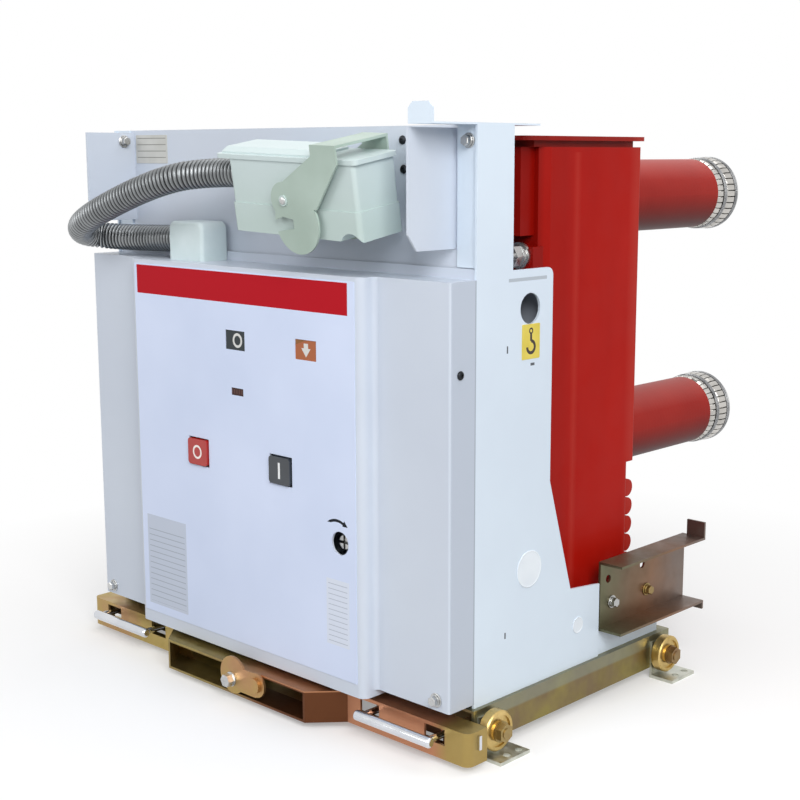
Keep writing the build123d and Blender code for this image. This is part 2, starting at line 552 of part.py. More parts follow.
# Plug, tilted as it is parked, with a lid, a rib, an arched cut-out and a locking lever.
tilt = Pos(*PLUG_AT) * Rot(PLUG_PITCH, PLUG_ROLL, 0)
w = PLUG_W / 2
d = PLUG_D / 2
h = PLUG_H / 2
shell = box(-w, w, -d, d, -h, h)
shell = round_edges(shell, Axis.Z, 5.0, lambda c: True)
rib = box(-w - 1.5, w + 1.5, -d - 1.5, d + 1.5, -h, -h + RIB_H)
shell += round_edges(rib, Axis.Z, 6.0, lambda c: True)
shell -= along_y(17.0, -d - 5, d + 5, w - 14, -h - 8)
shell -= box(-w + 6, w - 34, -d + 5, d - 5, -h - 1, -h + 34)
PIVOT_X = -5.0
PIVOT_R = 6.0
for sign in (-1, 1):
    shell += along_y(PIVOT_R, sign * (d - 2), sign * (d + LEVER_GAP + LEVER_T + 1.5), PIVOT_X, 0)
pieces["plug_body"] = tilt * shell

cap = box(-w - LID_OUT, w + 4, -d - 1.5, d + 1.5, h, h + 5)
cap = round_edges(cap, Axis.Z, 6.0, lambda c: True)
dome = box(-w - LID_OUT + 6, PIVOT_X + 40, -d + 4, d - 4, h + 5, h + 12)
dome = chamfer(dome.edges().filter_by(lambda e: e.center().Z > h + 11), 5.0)
pieces["plug_lid"] = tilt * (cap + dome)


BRIDGE_UP = 21.0         # top of the lever's bridge above the plug body
BRIDGE_X0 = 48.0
BRIDGE_X1 = 84.0
LOBE = 34.0              # radius of the hooked lobe


def lever_plate(y0, y1):
    """Side plate of the lever: pivot eye, hook lobe below and an arm up to the bridge."""
    top = h + BRIDGE_UP
    arm_face = [(PIVOT_X - 16, 10), (BRIDGE_X0 - 2, top - 12), (BRIDGE_X0 - 2, top),
                (BRIDGE_X1, top), (BRIDGE_X1, top - 20), (PIVOT_X + 50, -8)]
    flat = plate_xz(arm_face, y0, y1)
    flat += along_y(20.0, y0, y1, PIVOT_X, 0)
    flat += along_y(LOBE, y0, y1, PIVOT_X + 17, -24)
    notch = [(PIVOT_X - 30, -38), (PIVOT_X + 12, -30), (PIVOT_X + 12, -20), (PIVOT_X - 4, -18),
             (PIVOT_X - 30, -26)]
    flat -= plate_xz(notch, y0 - 1, y1 + 1)
    flat -= along_y(PIVOT_R + RUN, y0 - 1, y1 + 1, PIVOT_X, 0)
    return flat


lever_y = d + LEVER_GAP
lever = lever_plate(-lever_y - LEVER_T, -lever_y)
lever += lever_plate(lever_y, lever_y + LEVER_T)
lever += box(BRIDGE_X0, BRIDGE_X1, -lever_y - LEVER_T, lever_y + LEVER_T,
             h + BRIDGE_UP - 3, h + BRIDGE_UP)
pieces["plug_lever"] = tilt * lever

# Parking bracket between the wall and the back of the plug.
block = tilt * box(-w + 4, -w + 26, d + 1.5, d + 60, -h + 2, -h + 26)
keep = box(-400, 400, -100, WALL_Y, 400, 800)
pieces["plug_bracket"] = block & keep


def to_world(x, y, z):
    """A point of the plug in the frame of the whole."""
    p = (tilt * Pos(x, y, z)).position
    return (p.X, p.Y, p.Z)


# Hose: straight runs with tangent arcs, from the gland to the plug's left end.
HOSE_Y = 22.0
HOSE_Z = 549.0
plug_end = to_world(-w, 0, 18)
lead_in = to_world(-w - 50, 0, 18)
hose_points = [
    (GLAND_X0, HOSE_Y, HOSE_Z),
    (-308.0, HOSE_Y, HOSE_Z),
    (-304.0, -57.0, 557.0),
    (-106.0, -47.0, 626.0),
    lead_in,
    plug_end,
]


def bend_radii(points, share=0.45):
    """Arc radius at each inner point from the shorter run beside it."""
    radii = []
    for a, b, c in zip(points, points[1:], points[2:]):
        u = Vector(*b) - Vector(*a)
        v = Vector(*c) - Vector(*b)
        turn = math.radians(u.get_angle(v))
        run = min(u.length, v.length)
        radii.append(share * run / math.tan(turn / 2))
    return radii


radii = bend_radii(hose_points)
print("hose points", [tuple(round(v, 2) for v in p) for p in hose_points])
print("hose radii", [round(r, 1) for r in radii])
path = FilletPolyline(*hose_points, radius=radii)
print("hose length", round(path.length, 1))
start = Plane(origin=path @ 0, z_dir=path % 0)
pieces["hose"] = sweep(start * Circle(HOSE_D / 2), path=path)

# Shift to the middle of everything but the hose.
solids = {n: s if isinstance(s, list) else [s] for n, s in pieces.items()}
boxes = [p.bounding_box() for n, group in solids.items() if n != "hose" for p in group]
low = min(b.min.Y for b in boxes)
high = max(b.max.Y for b in boxes)
SHIFT = -(low + high) / 2
print("front", round(low, 3), "rear", round(high, 3), "shift", round(SHIFT, 4))
pivot = tilt * Pos(PIVOT_X, 0, 0)
plug_frame = Plane(pivot)
axis = plug_frame.y_dir
print("lever pivot", [round(v, 4) for v in (pivot.position.X, pivot.position.Y + SHIFT,
                                            pivot.position.Z)])
print("lever axis", [round(-v, 6) for v in (axis.X, axis.Y, axis.Z)])
for name, group in solids.items():
    moved = [Pos(0, SHIFT, 0) * s for s in group]
    whole = moved[0] if len(moved) == 1 else Compound(children=moved)
    whole.label = name
    export_step(whole, "parts/" + name + ".step")
    b = whole.bounding_box()
    print(name, "X", round(b.min.X, 1), round(b.max.X, 1), "Y", round(b.min.Y, 1),
          round(b.max.Y, 1), "Z", round(b.min.Z, 1), round(b.max.Z, 1))
print(len(pieces), "pieces")
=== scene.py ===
# %% [markdown]
# # A withdrawable circuit breaker on its truck
# The object is a switch for medium voltage. A painted sheet-metal housing holds the drive,
# three cast red poles stand behind it, and six arms carry rings of silver contact fingers.
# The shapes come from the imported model. This lesson gives each surface its finish and adds
# the pieces that a plain solid can't show: fingers, springs, a corrugated hose, screws, marks.

# %% Load the frame
import json
import math

import bmesh
import bpy
from mathutils import Matrix, Vector


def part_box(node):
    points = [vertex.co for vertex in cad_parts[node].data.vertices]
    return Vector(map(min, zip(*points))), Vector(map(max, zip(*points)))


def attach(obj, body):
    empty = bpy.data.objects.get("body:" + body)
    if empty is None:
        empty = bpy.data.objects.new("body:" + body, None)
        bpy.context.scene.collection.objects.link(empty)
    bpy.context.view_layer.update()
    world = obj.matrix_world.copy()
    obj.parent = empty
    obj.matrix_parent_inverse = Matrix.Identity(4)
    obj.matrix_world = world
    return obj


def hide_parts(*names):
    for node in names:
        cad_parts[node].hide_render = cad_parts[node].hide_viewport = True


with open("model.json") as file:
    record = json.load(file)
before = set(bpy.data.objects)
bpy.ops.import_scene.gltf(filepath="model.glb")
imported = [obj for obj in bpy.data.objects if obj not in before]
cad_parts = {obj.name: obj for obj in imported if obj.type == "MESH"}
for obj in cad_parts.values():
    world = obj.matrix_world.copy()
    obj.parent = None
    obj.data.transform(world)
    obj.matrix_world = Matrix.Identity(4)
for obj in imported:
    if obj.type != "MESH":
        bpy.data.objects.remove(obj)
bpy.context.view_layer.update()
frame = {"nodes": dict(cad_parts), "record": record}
nodes = frame["nodes"]

# %% [markdown]
# The drawings of such a machine measure in millimetres, from the front face of the cover's
# flanks. Blender works in metres from the middle of the floor. One small function turns the
# first into the second, so every place below can be read off with a ruler.

# %% From the drawing to the scene
RAISED_MIDDLE = 0.020
COVER_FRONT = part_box("front_cover")[0][1] + RAISED_MIDDLE


def at(x, y, z):
    """A point given in millimetres from the cover's front face, in scene metres."""
    return Vector((x / 1000, y / 1000 + COVER_FRONT, z / 1000))


print("cover face at y =", round(COVER_FRONT, 4))

# %% [markdown]
# The camera stands to the right of the front, a little above the roof. Its lens was found
# from the photograph's straight edges, so the view lines up with the picture.

# %% Camera
def add_object(name, data):
    """A new object with this data, in the scene."""
    thing = bpy.data.objects.new(name, data)
    bpy.context.scene.collection.objects.link(thing)
    return thing


lens = bpy.data.cameras.new("viewpoint")
lens.lens = 63.36
lens.sensor_width = 36
lens.shift_x = -0.03
lens.clip_end = 50
camera = add_object("viewpoint", lens)
camera.location = at(1279.6, -1058.9, 654.2)
forward = Vector((-0.6755, 0.7168, -0.1728))
camera.rotation_euler = forward.to_track_quat("-Z", "Y").to_euler()
bpy.context.scene.camera = camera
print("camera at", [round(v, 3) for v in camera.location])

# %% [markdown]
# Node trees are drawn by hand in the editor, but in a script they read better as sums. The
# class below wraps one socket of a node. Adding or multiplying two of them adds the Math
# node that does it, and plain numbers may stand on either side of the sign.

# %% Node maths as plain expressions
class Signal:
    """One output socket of a node tree, with arithmetic."""

    def __init__(self, graph, socket):
        self.graph = graph
        self.socket = socket

    def math(self, operation, *values):
        return self.graph.add("ShaderNodeMath", {"operation": operation}, values)

    def __add__(self, other):
        return self.math("ADD", self, other)

    __radd__ = __add__

    def __sub__(self, other):
        return self.math("SUBTRACT", self, other)

    def __rsub__(self, other):
        return self.math("SUBTRACT", other, self)

    def __mul__(self, other):
        return self.math("MULTIPLY", self, other)

    __rmul__ = __mul__

    def __truediv__(self, other):
        return self.math("DIVIDE", self, other)

    def __gt__(self, other):
        return self.math("GREATER_THAN", self, other)

    def __lt__(self, other):
        return self.math("LESS_THAN", self, other)

    def square(self):
        return self * self

    def distance(self):
        return self.math("ABSOLUTE", self)

    def fraction(self):
        return self.math("FRACT", self)

    def root(self):
        return self.math("SQRT", self)

    def wave(self):
        return self.math("SINE", self)

    def cosine(self):
        return self.math("COSINE", self)

    def power(self, other):
        return self.math("POWER", self, other)

    def clamp(self):
        return self.math("MINIMUM", self.math("MAXIMUM", self, 0.0), 1.0)


class Graph:
    """A node tree that grows one node at a time."""

    def __init__(self, tree):
        self.tree = tree

    def add(self, kind, settings=None, values=(), out=0):
        """A node with its settings and the values or links of its sockets."""
        node = self.tree.nodes.new(kind)
        for key, value in (settings or {}).items():
            if key == "stops":
                ramp = node.color_ramp.elements
                while len(ramp) < len(value):
                    ramp.new(0.5)
                for element, (place, colour) in zip(ramp, value):
                    element.position = place
                    element.color = colour
            else:
                setattr(node, key, value)
        pairs = values.items() if isinstance(values, dict) else enumerate(values)
        for key, value in pairs:
            if isinstance(value, Signal):
                self.tree.links.new(value.socket, node.inputs[key])
            else:
                node.inputs[key].default_value = value
        return Signal(self, node.outputs[out])


print("helpers ready")

# %% [markdown]
# Colours were read off the photograph as hexadecimal numbers. Blender wants light, not
# numbers for a screen, so they are straightened first.

# %% Colours
def hue(code):
    """A screen colour such as C5CFDA as linear red, green, blue, alpha."""
    parts = [int(code[i:i + 2], 16) / 255 for i in (0, 2, 4)]
    lit = [p / 12.92 if p < 0.04045 else ((p + 0.055) / 1.055) ** 2.4 for p in parts]
    return (*lit, 1.0)


print("cover paint:", [round(v, 3) for v in hue("C3CCD9")])

# %% [markdown]
# Every finish starts the same way: a Principled shader, the Object coordinates that stay
# fixed to the piece, and a few textures. `Finish` holds those, so that each material below
# says only what is special about it. Its `drawing` gives the coordinates in the drawing's
# millimetres, and its `clouds` a slow noise between two values.

# %% A finish
class Finish(Graph):
    """A material with its Principled shader and helpers for what varies over a surface."""

    def __init__(self, name, colour, rough=0.5, metal=0.0, coat=0.0, coat_rough=0.1, spec=0.5):
        self.material = bpy.data.materials.new(name)
        self.material.use_nodes = True
        super().__init__(self.material.node_tree)
        self.shader = self.tree.nodes["Principled BSDF"]
        self.shader.inputs["Base Color"].default_value = hue(colour)
        self.shader.inputs["Roughness"].default_value = rough
        self.shader.inputs["Metallic"].default_value = metal
        self.shader.inputs["Coat Weight"].default_value = coat
        self.shader.inputs["Coat Roughness"].default_value = coat_rough
        self.shader.inputs["Specular IOR Level"].default_value = spec
        self.material.diffuse_color = hue(colour)
        self.place = self.add("ShaderNodeTexCoord", out="Object")

    def axes(self):
        """Across, back and up, in metres."""
        split = self.tree.nodes.new("ShaderNodeSeparateXYZ")
        self.tree.links.new(self.place.socket, split.inputs[0])
        return [Signal(self, split.outputs[i]) for i in range(3)]

    def drawing(self):
        """Across, back from the cover's face and up, in millimetres."""
        x, y, z = self.axes()
        return x * 1000, (y - COVER_FRONT) * 1000, z * 1000

    def noise(self, scale, detail=3.0, rough=0.5, stretch=(1, 1, 1)):
        spot = self.add("ShaderNodeMapping", {}, {0: self.place, 3: stretch})
        return self.add("ShaderNodeTexNoise", {}, {"Vector": spot, "Scale": scale,
                                                    "Detail": detail, "Roughness": rough})

    def range(self, value, low, high, to_low, to_high):
        return self.add("ShaderNodeMapRange", {}, [value, low, high, to_low, to_high])

    def clouds(self, *noise, low=0.0, high=1.0):
        """The middle of a noise, stretched to run from low to high."""
        return self.range(self.noise(*noise), 0.3, 0.7, low, high)

    def blend(self, mask, first, second):
        return self.add("ShaderNodeMix", {"data_type": "RGBA"}, {0: mask, 6: first, 7: second},
                        out=2)

    def mottle(self, dark, light, *noise):
        """Clouds between two near colours."""
        return self.blend(self.clouds(*noise), hue(dark), hue(light))

    def ramp(self, value, stops):
        return self.add("ShaderNodeValToRGB", {"stops": stops}, [value])

    def bump(self, height, depth, strength):
        lift = self.add("ShaderNodeBump", {}, {"Height": height, "Distance": depth,
                                                "Strength": strength}, "Normal")
        self.feed("Normal", lift)

    def feed(self, socket, value):
        self.tree.links.new(value.socket, self.shader.inputs[socket])


def show(finish, *names):
    """Give CAD nodes their finish."""
    for name in names:
        for slot in nodes[name].material_slots:
            slot.material = finish.material
    print(finish.material.name, "on", len(names), "nodes")


print("finish helpers ready")

# %% [markdown]
# Folds, punched slots and prints are too thin to be pieces, so they are drawn by rule in
# the material, the folds as painted shadow lines. A shape is a mask, one inside it and zero
# outside, and masks are multiplied where both must hold. The simplest are a strip and a
# rectangle.

# %% Strips and rectangles as masks
SIDE_FACE = 319.0


def inside(value, low, high):
    """One between two limits and zero elsewhere."""
    return (value > low) * (value < high)


def patch(across, up, left, right, low, high):
    """A rectangle given by its four edges."""
    return inside(across, left, right) * inside(up, low, high)


def on_side(x):
    """The outermost faces at the left and the right of the housing."""
    return x.distance() > SIDE_FACE - 0.5


print("side faces at x =", SIDE_FACE, "mm")

# %% [markdown]
# Powder paint is a thick satin skin. Up close it ripples like an orange's peel, and handling
# leaves it a touch uneven in shade. The ripple is a fine noise into Bump, and the shade a
# slow noise between two near colours. The cover's flanks get painted shade, darker than its
# front, and the fold at their rear edge a painted shadow, darker still.

# %% Powder paint
FLANK_TOP = 524.0
FOLD_FROM = 38.2


def powder(name, light, dark, rough):
    """Powder paint, and its shade for marks to be laid over."""
    paint = Finish(name, light, rough=rough, coat=0.12, coat_rough=0.3)
    cloud = paint.range(paint.noise(3.5, 4.0, 0.55), 0.35, 0.65, 0.0, 1.0)
    paint.feed("Roughness", paint.clouds(14.0, 3.0, low=rough - 0.05, high=rough + 0.07))
    paint.bump(paint.noise(420.0, 2.0), 0.00012, 0.35)
    return paint, paint.blend(cloud, hue(dark), hue(light))


cover_paint, shade = powder("cover_paint", "CBD3DF", "C5CDDA", 0.36)
x, y, z = cover_paint.drawing()
# Painted shade on the flanks, and a painted shadow in the fold at their rear edge.
shaded_flank = on_side(x) * (z < FLANK_TOP)
shade = cover_paint.blend(shaded_flank * 0.5, shade, hue("A9B3C2"))
fold_shadow = shaded_flank * (y > FOLD_FROM)
cover_paint.feed("Base Color", cover_paint.blend(fold_shadow * 0.45, shade, hue("7F8894")))
show(cover_paint, "front_cover", "front_wall", "top_rail", "top_deck", "back_plate")

# %% [markdown]
# The side sheets are the same paint, a little paler. They have a few punched slots, which
# are dark marks in the paint, and a folded lip, whose shadow is painted as a grey line.

# %% Side paint with punched slots
SLOTS = ((90.9, 446.2, 2.2, 8.0), (133.8, 426.4, 7.0, 3.0), (91.7, 125.4, 2.4, 7.0))
LIP_SHADOW = (92.0, 157.0, 518.5, 522.2)


def slot_mark(y, z, back, up, wide, tall):
    """A punched slot given by its middle and its size."""
    return ((y - back).distance() < wide / 2) * ((z - up).distance() < tall / 2)


side_paint, shade = powder("side_paint", "DAE7F3", "D3DFEC", 0.38)
x, y, z = side_paint.drawing()
# Painted shadow under the folded lip, as a grey line.
shade = side_paint.blend(patch(y, z, *LIP_SHADOW) * on_side(x), shade, hue("AEB7C1"))
marks = sum(slot_mark(y, z, *slot) for slot in SLOTS).clamp() * on_side(x)
side_paint.feed("Base Color", side_paint.blend(marks, shade, hue("4A4F56")))
show(side_paint, "side_plate_left", "side_plate_right", "base_tray", "roof_guide",
     "plug_bracket")

# %% [markdown]
# The control panel is one printed film. A print has no thickness, so it too is drawn with
# masks, and three more are needed: a ring, the tip of an arrow, and the thin rules of a
# blank form.

# %% Rings, tips and rules as masks
RULE_SHARE = 0.13


def ring_mask(x, z, middle, outer, inner):
    """A ring round a middle."""
    reach = ((x - middle[0]).square() + (z - middle[1]).square()).root()
    return inside(reach, inner, outer)


def tip_mask(x, z, start, turn, length, half):
    """A triangle that starts at a point and narrows to its tip along an angle."""
    ahead = (x - start[0]) * math.cos(turn) + (z - start[1]) * math.sin(turn)
    aside = (z - start[1]) * math.cos(turn) - (x - start[0]) * math.sin(turn)
    return inside(ahead, 0.0, length) * (aside.distance() < (length - ahead) * (half / length))


def ruled(x, z, edges, pitch):
    """Thin level rules inside a rectangle."""
    return ((z / pitch).fraction() < RULE_SHARE) * patch(x, z, *edges)


print("masks: ring, tip, rules")

# %% [markdown]
# The film has a red band above, two pale data plates that are left blank but ruled, and a
# curved arrow that shows which way the crank under it turns. Each rectangle is given by its
# left, right, lower and upper edge.

# %% Printed film
BAND = (-193.5, 188.0, 481.8, 517.2)
DATA_PLATE = (-188.5, -108.0, 78.5, 197.0)
DATA_RULES = (-185.0, -111.5, 82.0, 180.0)
NOTE_PLATE = (150.0, 187.0, 106.0, 183.0)
NOTE_RULES = (153.0, 184.0, 109.0, 180.0)
ARC_MIDDLE = (168.0, 227.9)
ARC_FROM = 248.2
ARROW_HEAD = (178.4, 250.0)
ARROW_TURN = -0.45

film = Finish("panel_film", "D3DDF3", rough=0.45, spec=0.08)
x, _, z = film.drawing()
ground = film.mottle("CFDAF2", "D8E2F9", 6.0, 3.0)
ground = film.blend(patch(x, z, *DATA_PLATE), ground, hue("C3CBDA"))
ground = film.blend(ruled(x, z, DATA_RULES, 7.4), ground, hue("9FA8B6"))
ground = film.blend(patch(x, z, *NOTE_PLATE), ground, hue("D9E0EE"))
ground = film.blend(ruled(x, z, NOTE_RULES, 6.1), ground, hue("AEB6C6"))
arc = ring_mask(x, z, ARC_MIDDLE, 25.6, 22.3) * (z > ARC_FROM)
arrow = (arc + tip_mask(x, z, ARROW_HEAD, ARROW_TURN, 8.0, 3.8)).clamp()
ground = film.blend(arrow, ground, hue("1E2228"))
film.feed("Base Color", film.blend(patch(x, z, *BAND), ground, hue("B41623")))
film.bump(film.noise(900.0, 1.0), 0.00004, 0.3)
show(film, "control_panel")

# %% [markdown]
# The poles are cast epoxy resin, pigmented deep red. A full gloss would mirror the pale room
# and wash the red out, so the finish is satin with the faintest coat. Slow flow marks come
# from a noise stretched along the height. Light and shade are painted by depth: painted shade
# at the front by the cover and before the corner, a painted highlight at the corner, and
# painted light on the rear rim.

# %% Cast epoxy
POLE_FRONT = 186.0
POLE_CORNER = 241.0
GLEAM_TOP = 655.0
LID_FOOT = 660.5
REAR_RIM = (346.0, 362.0)

epoxy = Finish("cast_epoxy", "A3170D", rough=0.36, coat=0.03, coat_rough=0.12, spec=0.08)
_, y, z = epoxy.drawing()
tone = epoxy.mottle("9E0F06", "AE1509", 7.0, 4.0, 0.6, (1, 1, 0.3))
# Painted shade at the pole's front, by the cover.
front_shade = epoxy.range(y, POLE_FRONT, POLE_FRONT + 5, 0.75, 0.0)
tone = epoxy.blend(front_shade, tone, hue("7C0B05"))
tone = epoxy.blend((z > LID_FOOT) * 0.4, tone, hue("5E2A22"))
# Painted shade along the strip before the corner.
corner_shade = epoxy.range(y, POLE_CORNER - 18, POLE_CORNER, 0.4, 0.0)
tone = epoxy.blend(corner_shade, tone, hue("8A0D06"))
gleam = epoxy.range((y - (POLE_CORNER + 4)).distance(), 0.0, 8.0, 0.14, 0.0)
tone = epoxy.blend(gleam * (z < GLEAM_TOP), tone, hue("CC5A4C"))
# Painted light on the rear rim.
rim = epoxy.range(y, *REAR_RIM, 0.0, 0.35)
epoxy.feed("Base Color", epoxy.blend(rim, tone, hue("B5443A")))
epoxy.feed("Roughness", epoxy.clouds(30.0, 2.0, low=0.3, high=0.44))
epoxy.bump(epoxy.noise(160.0, 2.0), 0.00015, 0.25)
show(epoxy, "pole_left", "pole_middle", "pole_right")

# %% [markdown]
# The arms wear shrunk sleeves of the same red, but satin and duller. The sleeve shows faint
# rings where it gripped while shrinking. Light falls from above, so each sleeve gets painted
# shade below its own axis and painted light on its upper side, by its height above that axis.

# %% Sleeves
UPPER_ARM = 600.0
LOWER_ARM = 300.0
RING_RADIANS = 900

sleeve = Finish("arm_sleeve", "92201A", rough=0.42, coat=0.02, coat_rough=0.3, spec=0.1)
tone = sleeve.mottle("92201A", "A02820", 11.0, 3.0)
_, _, z = sleeve.drawing()
over_axis = z - LOWER_ARM - (z > (LOWER_ARM + UPPER_ARM) / 2) * (UPPER_ARM - LOWER_ARM)
# Painted shade below each arm's axis, and painted light above it.
shade_below = sleeve.range(over_axis, -40.0, 0.0, 0.85, 0.0)
light_above = sleeve.range(over_axis, 20.0, 46.0, 0.0, 0.5)
tone = sleeve.blend(shade_below, tone, hue("3E0A06"))
sleeve.feed("Base Color", sleeve.blend(light_above, tone, hue("B5605A")))
_, along, _ = sleeve.axes()
rings = (along * RING_RADIANS + 6 * sleeve.noise(9.0, 2.0)).wave()
sleeve.bump(rings, 0.0001, 0.12)
show(sleeve, "arms_upper", "arms_lower")

# %% [markdown]
# Metals are told apart by their colour, how sharply they mirror, and their marks. Silver
# plate is bright with short rubbed scratches, chrome mirrors best, and zinc goes dull. One
# function serves them all, with the colour and the roughness drifting in clouds.

# %% Plain metals
def metal(name, light, dark, rough, spread=0.08, scale=40.0, stretch=(1, 1, 1)):
    """A bare metal whose roughness spreads to both sides of its middle value."""
    plate = Finish(name, light, rough=rough, metal=1.0)
    plate.feed("Base Color", plate.mottle(dark, light, scale, 3.0, 0.6, stretch))
    plate.feed("Roughness", plate.clouds(scale * 2, 2.0, 0.5, stretch,
                                         low=rough - spread, high=rough + spread))
    plate.bump(plate.noise(scale * 8, 2.0, 0.5, stretch), 0.00003, 0.3)
    return plate


silver = metal("silver_plate", "D2CFCA", "B0ADA8", 0.2, 0.06, 60.0, (1, 0.2, 1))
chrome = metal("chrome", "DADCE0", "CDD0D6", 0.1, 0.04, 30.0)
bright_zinc = metal("bright_zinc", "CFD0D0", "ABABA9", 0.3)
dull_zinc = metal("galvanised", "D8D9CE", "B8BAAF", 0.42, 0.1, 70.0)
brass = metal("wheel_brass", "DABE7E", "B89C5E", 0.34, 0.08, 50.0)
show(chrome, "handle_left", "handle_right")
show(bright_zinc, "pole_bolts", "lead_screw", "crank_socket")
show(dull_zinc, "transport_feet")
show(brass, "wheel_front_left", "wheel_front_right", "wheel_rear_left", "wheel_rear_right",
     "lead_nut")
show(silver, *[n for n in nodes if n.startswith("contact_")])

# %% [markdown]
# The truck's rails and the racking beam are steel with yellow passivated zinc. That skin
# drifts between straw, pink and green like oil on water, so a ramp over a slow noise gives
# its colours. The beam and its hood turn rosy towards the right, and the beam's end goes olive.
# The hood gets painted shade along its lower edge, and the rails a painted grey sheen on top.

# %% Yellow passivated zinc
def passivated(name, green, straw, dull):
    """Yellow zinc, with its tone and the drift behind it for what is laid over."""
    plate = Finish(name, straw, rough=0.38, metal=0.9)
    drift = plate.noise(9.0, 4.0, 0.6)
    tone = plate.ramp(drift, [(0.32, hue(green)), (0.46, hue(straw)), (0.64, hue(dull))])
    plate.feed("Base Color", tone)
    plate.feed("Roughness", plate.clouds(60.0, 3.0, low=0.3, high=0.48))
    plate.bump(plate.noise(500.0, 2.0), 0.00003, 0.3)
    return plate, tone, drift


HOOD_EDGE = 44.5

beam_zinc, tone, drift = passivated("beam_zinc", "8F8144", "B29C5C", "B08A62")
x, _, _ = beam_zinc.drawing()
far = beam_zinc.range(x + drift * 80, 40.0, 190.0, 0.0, 1.0)
tone = beam_zinc.blend(far, tone, hue("B98262"))
end = beam_zinc.range(x, 296.0, 318.0, 0.0, 0.7)
beam_zinc.feed("Base Color", beam_zinc.blend(end, tone, hue("9E9450")))
show(beam_zinc, "racking_beam", "beam_guide_arms", "screw_bearing")

hood_zinc, tone, drift = passivated("hood_zinc", "857A42", "A08F58", "8C764C")
x, _, z = hood_zinc.drawing()
far = hood_zinc.range(x + drift * 80, 20.0, 110.0, 0.0, 1.0)
tone = hood_zinc.blend(far, tone, hue("AE7A58"))
# Painted shade along the hood's lower edge, deeper towards the right.
under_shade = (z < HOOD_EDGE) * (0.2 + far * 0.7)
hood_zinc.feed("Base Color", hood_zinc.blend(under_shade, tone, hue("56301A")))
show(hood_zinc, "beam_hood")

rail_zinc, tone, _ = passivated("rail_zinc", "6E6A3C", "8D8049", "7C6A4C")
_, _, z = rail_zinc.drawing()
# A painted grey sheen along the rails' top.
sheen = rail_zinc.range(z, 39.0, 42.0, 0.0, 0.5)
rail_zinc.feed("Base Color", rail_zinc.blend(sheen, tone, hue("8C9486")))
show(rail_zinc, "truck_rail_left", "truck_rail_right", "truck_front_bar", "truck_rear_bar")

bolt_zinc, _, _ = passivated("bolt_zinc", "8E8252", "A6935E", "8C704E")
show(bolt_zinc, "axle_bolts")

# %% [markdown]
# The two channels behind the truck wear a duller, browner skin that shifts from green at
# the front over brown to grey at the rear. A ramp along the depth does it, and a slow noise
# added to the depth frays the borders of the colours.

# %% Rear channels
CHANNEL_FRONT = 262.0
CHANNEL_REAR = 452.0

channel_zinc = Finish("channel_zinc", "8E7A68", rough=0.4, metal=0.85)
_, y, _ = channel_zinc.drawing()
fray = channel_zinc.clouds(8.0, 4.0, 0.6, low=-25.0, high=25.0)
place = channel_zinc.range(y + fray, CHANNEL_FRONT, CHANNEL_REAR, 0.0, 1.0)
channel_zinc.feed("Base Color", channel_zinc.ramp(place, [
    (0.0, hue("6E6C54")), (0.3, hue("75634F")), (0.6, hue("86664F")), (0.9, hue("7C6E66"))]))
channel_zinc.feed("Roughness", channel_zinc.clouds(60.0, 3.0, low=0.32, high=0.5))
show(channel_zinc, "rear_channel_left", "rear_channel_right")

# %% [markdown]
# The plug is moulded in pale green plastic with a fine spark-eroded grain, and painted light
# makes it a little paler towards its top. Its lever is a shade greener, and the gland of the
# hose a shade whiter. All three share one function for the moulded skin.

# %% Pale plastics
TOP_LIGHT_FROM = 600.0
TOP_LIGHT_TO = 680.0


def grained(name, colour, rough, grain):
    """Pale moulded plastic with a fine grain."""
    body = Finish(name, colour, rough=rough, coat=0.05)
    body.bump(body.noise(grain, 2.0), 0.00006, 0.4)
    return body


plug = grained("plug_plastic", "B9C8BF", 0.42, 800.0)
_, _, z = plug.drawing()
# Painted light: the plug is paler towards its top.
paler_part = plug.range(z + 40 * plug.noise(12.0, 3.0), TOP_LIGHT_FROM, TOP_LIGHT_TO, 0.0, 1.0)
plug.feed("Base Color", plug.blend(paler_part, hue("BBCCC8"), hue("CCDADB")))
show(plug, "plug_body", "plug_lid")

lever = grained("lever_plastic", "A9BBB1", 0.42, 800.0)
lever.feed("Base Color", lever.mottle("A3B5AA", "B1C3B9", 18.0, 3.0))
show(lever, "plug_lever")

gland = grained("gland_plastic", "D2E1E3", 0.4, 700.0)
gland.feed("Base Color", gland.mottle("CADADB", "D9E6E8", 22.0, 3.0))
show(gland, "hose_gland")

# %% [markdown]
# The push buttons are smooth mouldings, one red and one near black. They carry the signs
# that every such switch has: a circle for off and a bar for on.

# %% Buttons
OFF_MIDDLE = (-76.6, 294.4)
ON_BAR = (73.3, 76.7, 284.9, 303.9)


def smooth(name, light, dark, rough):
    """Glossy plastic, and its tone for a printed sign to be laid over."""
    gloss = Finish(name, light, rough=rough, coat=0.3, coat_rough=0.08)
    gloss.bump(gloss.noise(600.0, 1.0), 0.00003, 0.2)
    return gloss, gloss.blend(gloss.noise(40.0, 2.0), hue(dark), hue(light))


red_cap, tone = smooth("red_button", "B3241C", "A31D16", 0.3)
x, _, z = red_cap.drawing()
circle = ring_mask(x, z, OFF_MIDDLE, 8.6, 6.0)
red_cap.feed("Base Color", red_cap.blend(circle, tone, hue("F2E9E4")))
show(red_cap, "button_open")

dark_cap, tone = smooth("dark_button", "343A42", "282D33", 0.32)
x, _, z = dark_cap.drawing()
dark_cap.feed("Base Color", dark_cap.blend(patch(x, z, *ON_BAR), tone, hue("EDEFF0")))
show(dark_cap, "button_close")

# %% [markdown]
# Small windows look into the drive. Behind one stands the same circle on dark ground, and
# behind the right-hand one the arrow of the charged spring on orange. The low one shows the
# wheels of a counter. The panes are one node, so masks tell them apart.

# %% Indicator windows
COUNTER_TOP = 400.0
SPRING_WINDOW_FROM = 60.0
CIRCLE_MIDDLE = (0.8, 438.2)
STEM = (116.6, 123.8, 438.0, 445.5)
SPRING_HEAD = (120.2, 440.0)
DIGIT_PITCH = 4.4
DIGIT_LOW = 374.6
DIGIT_HIGH = 379.8

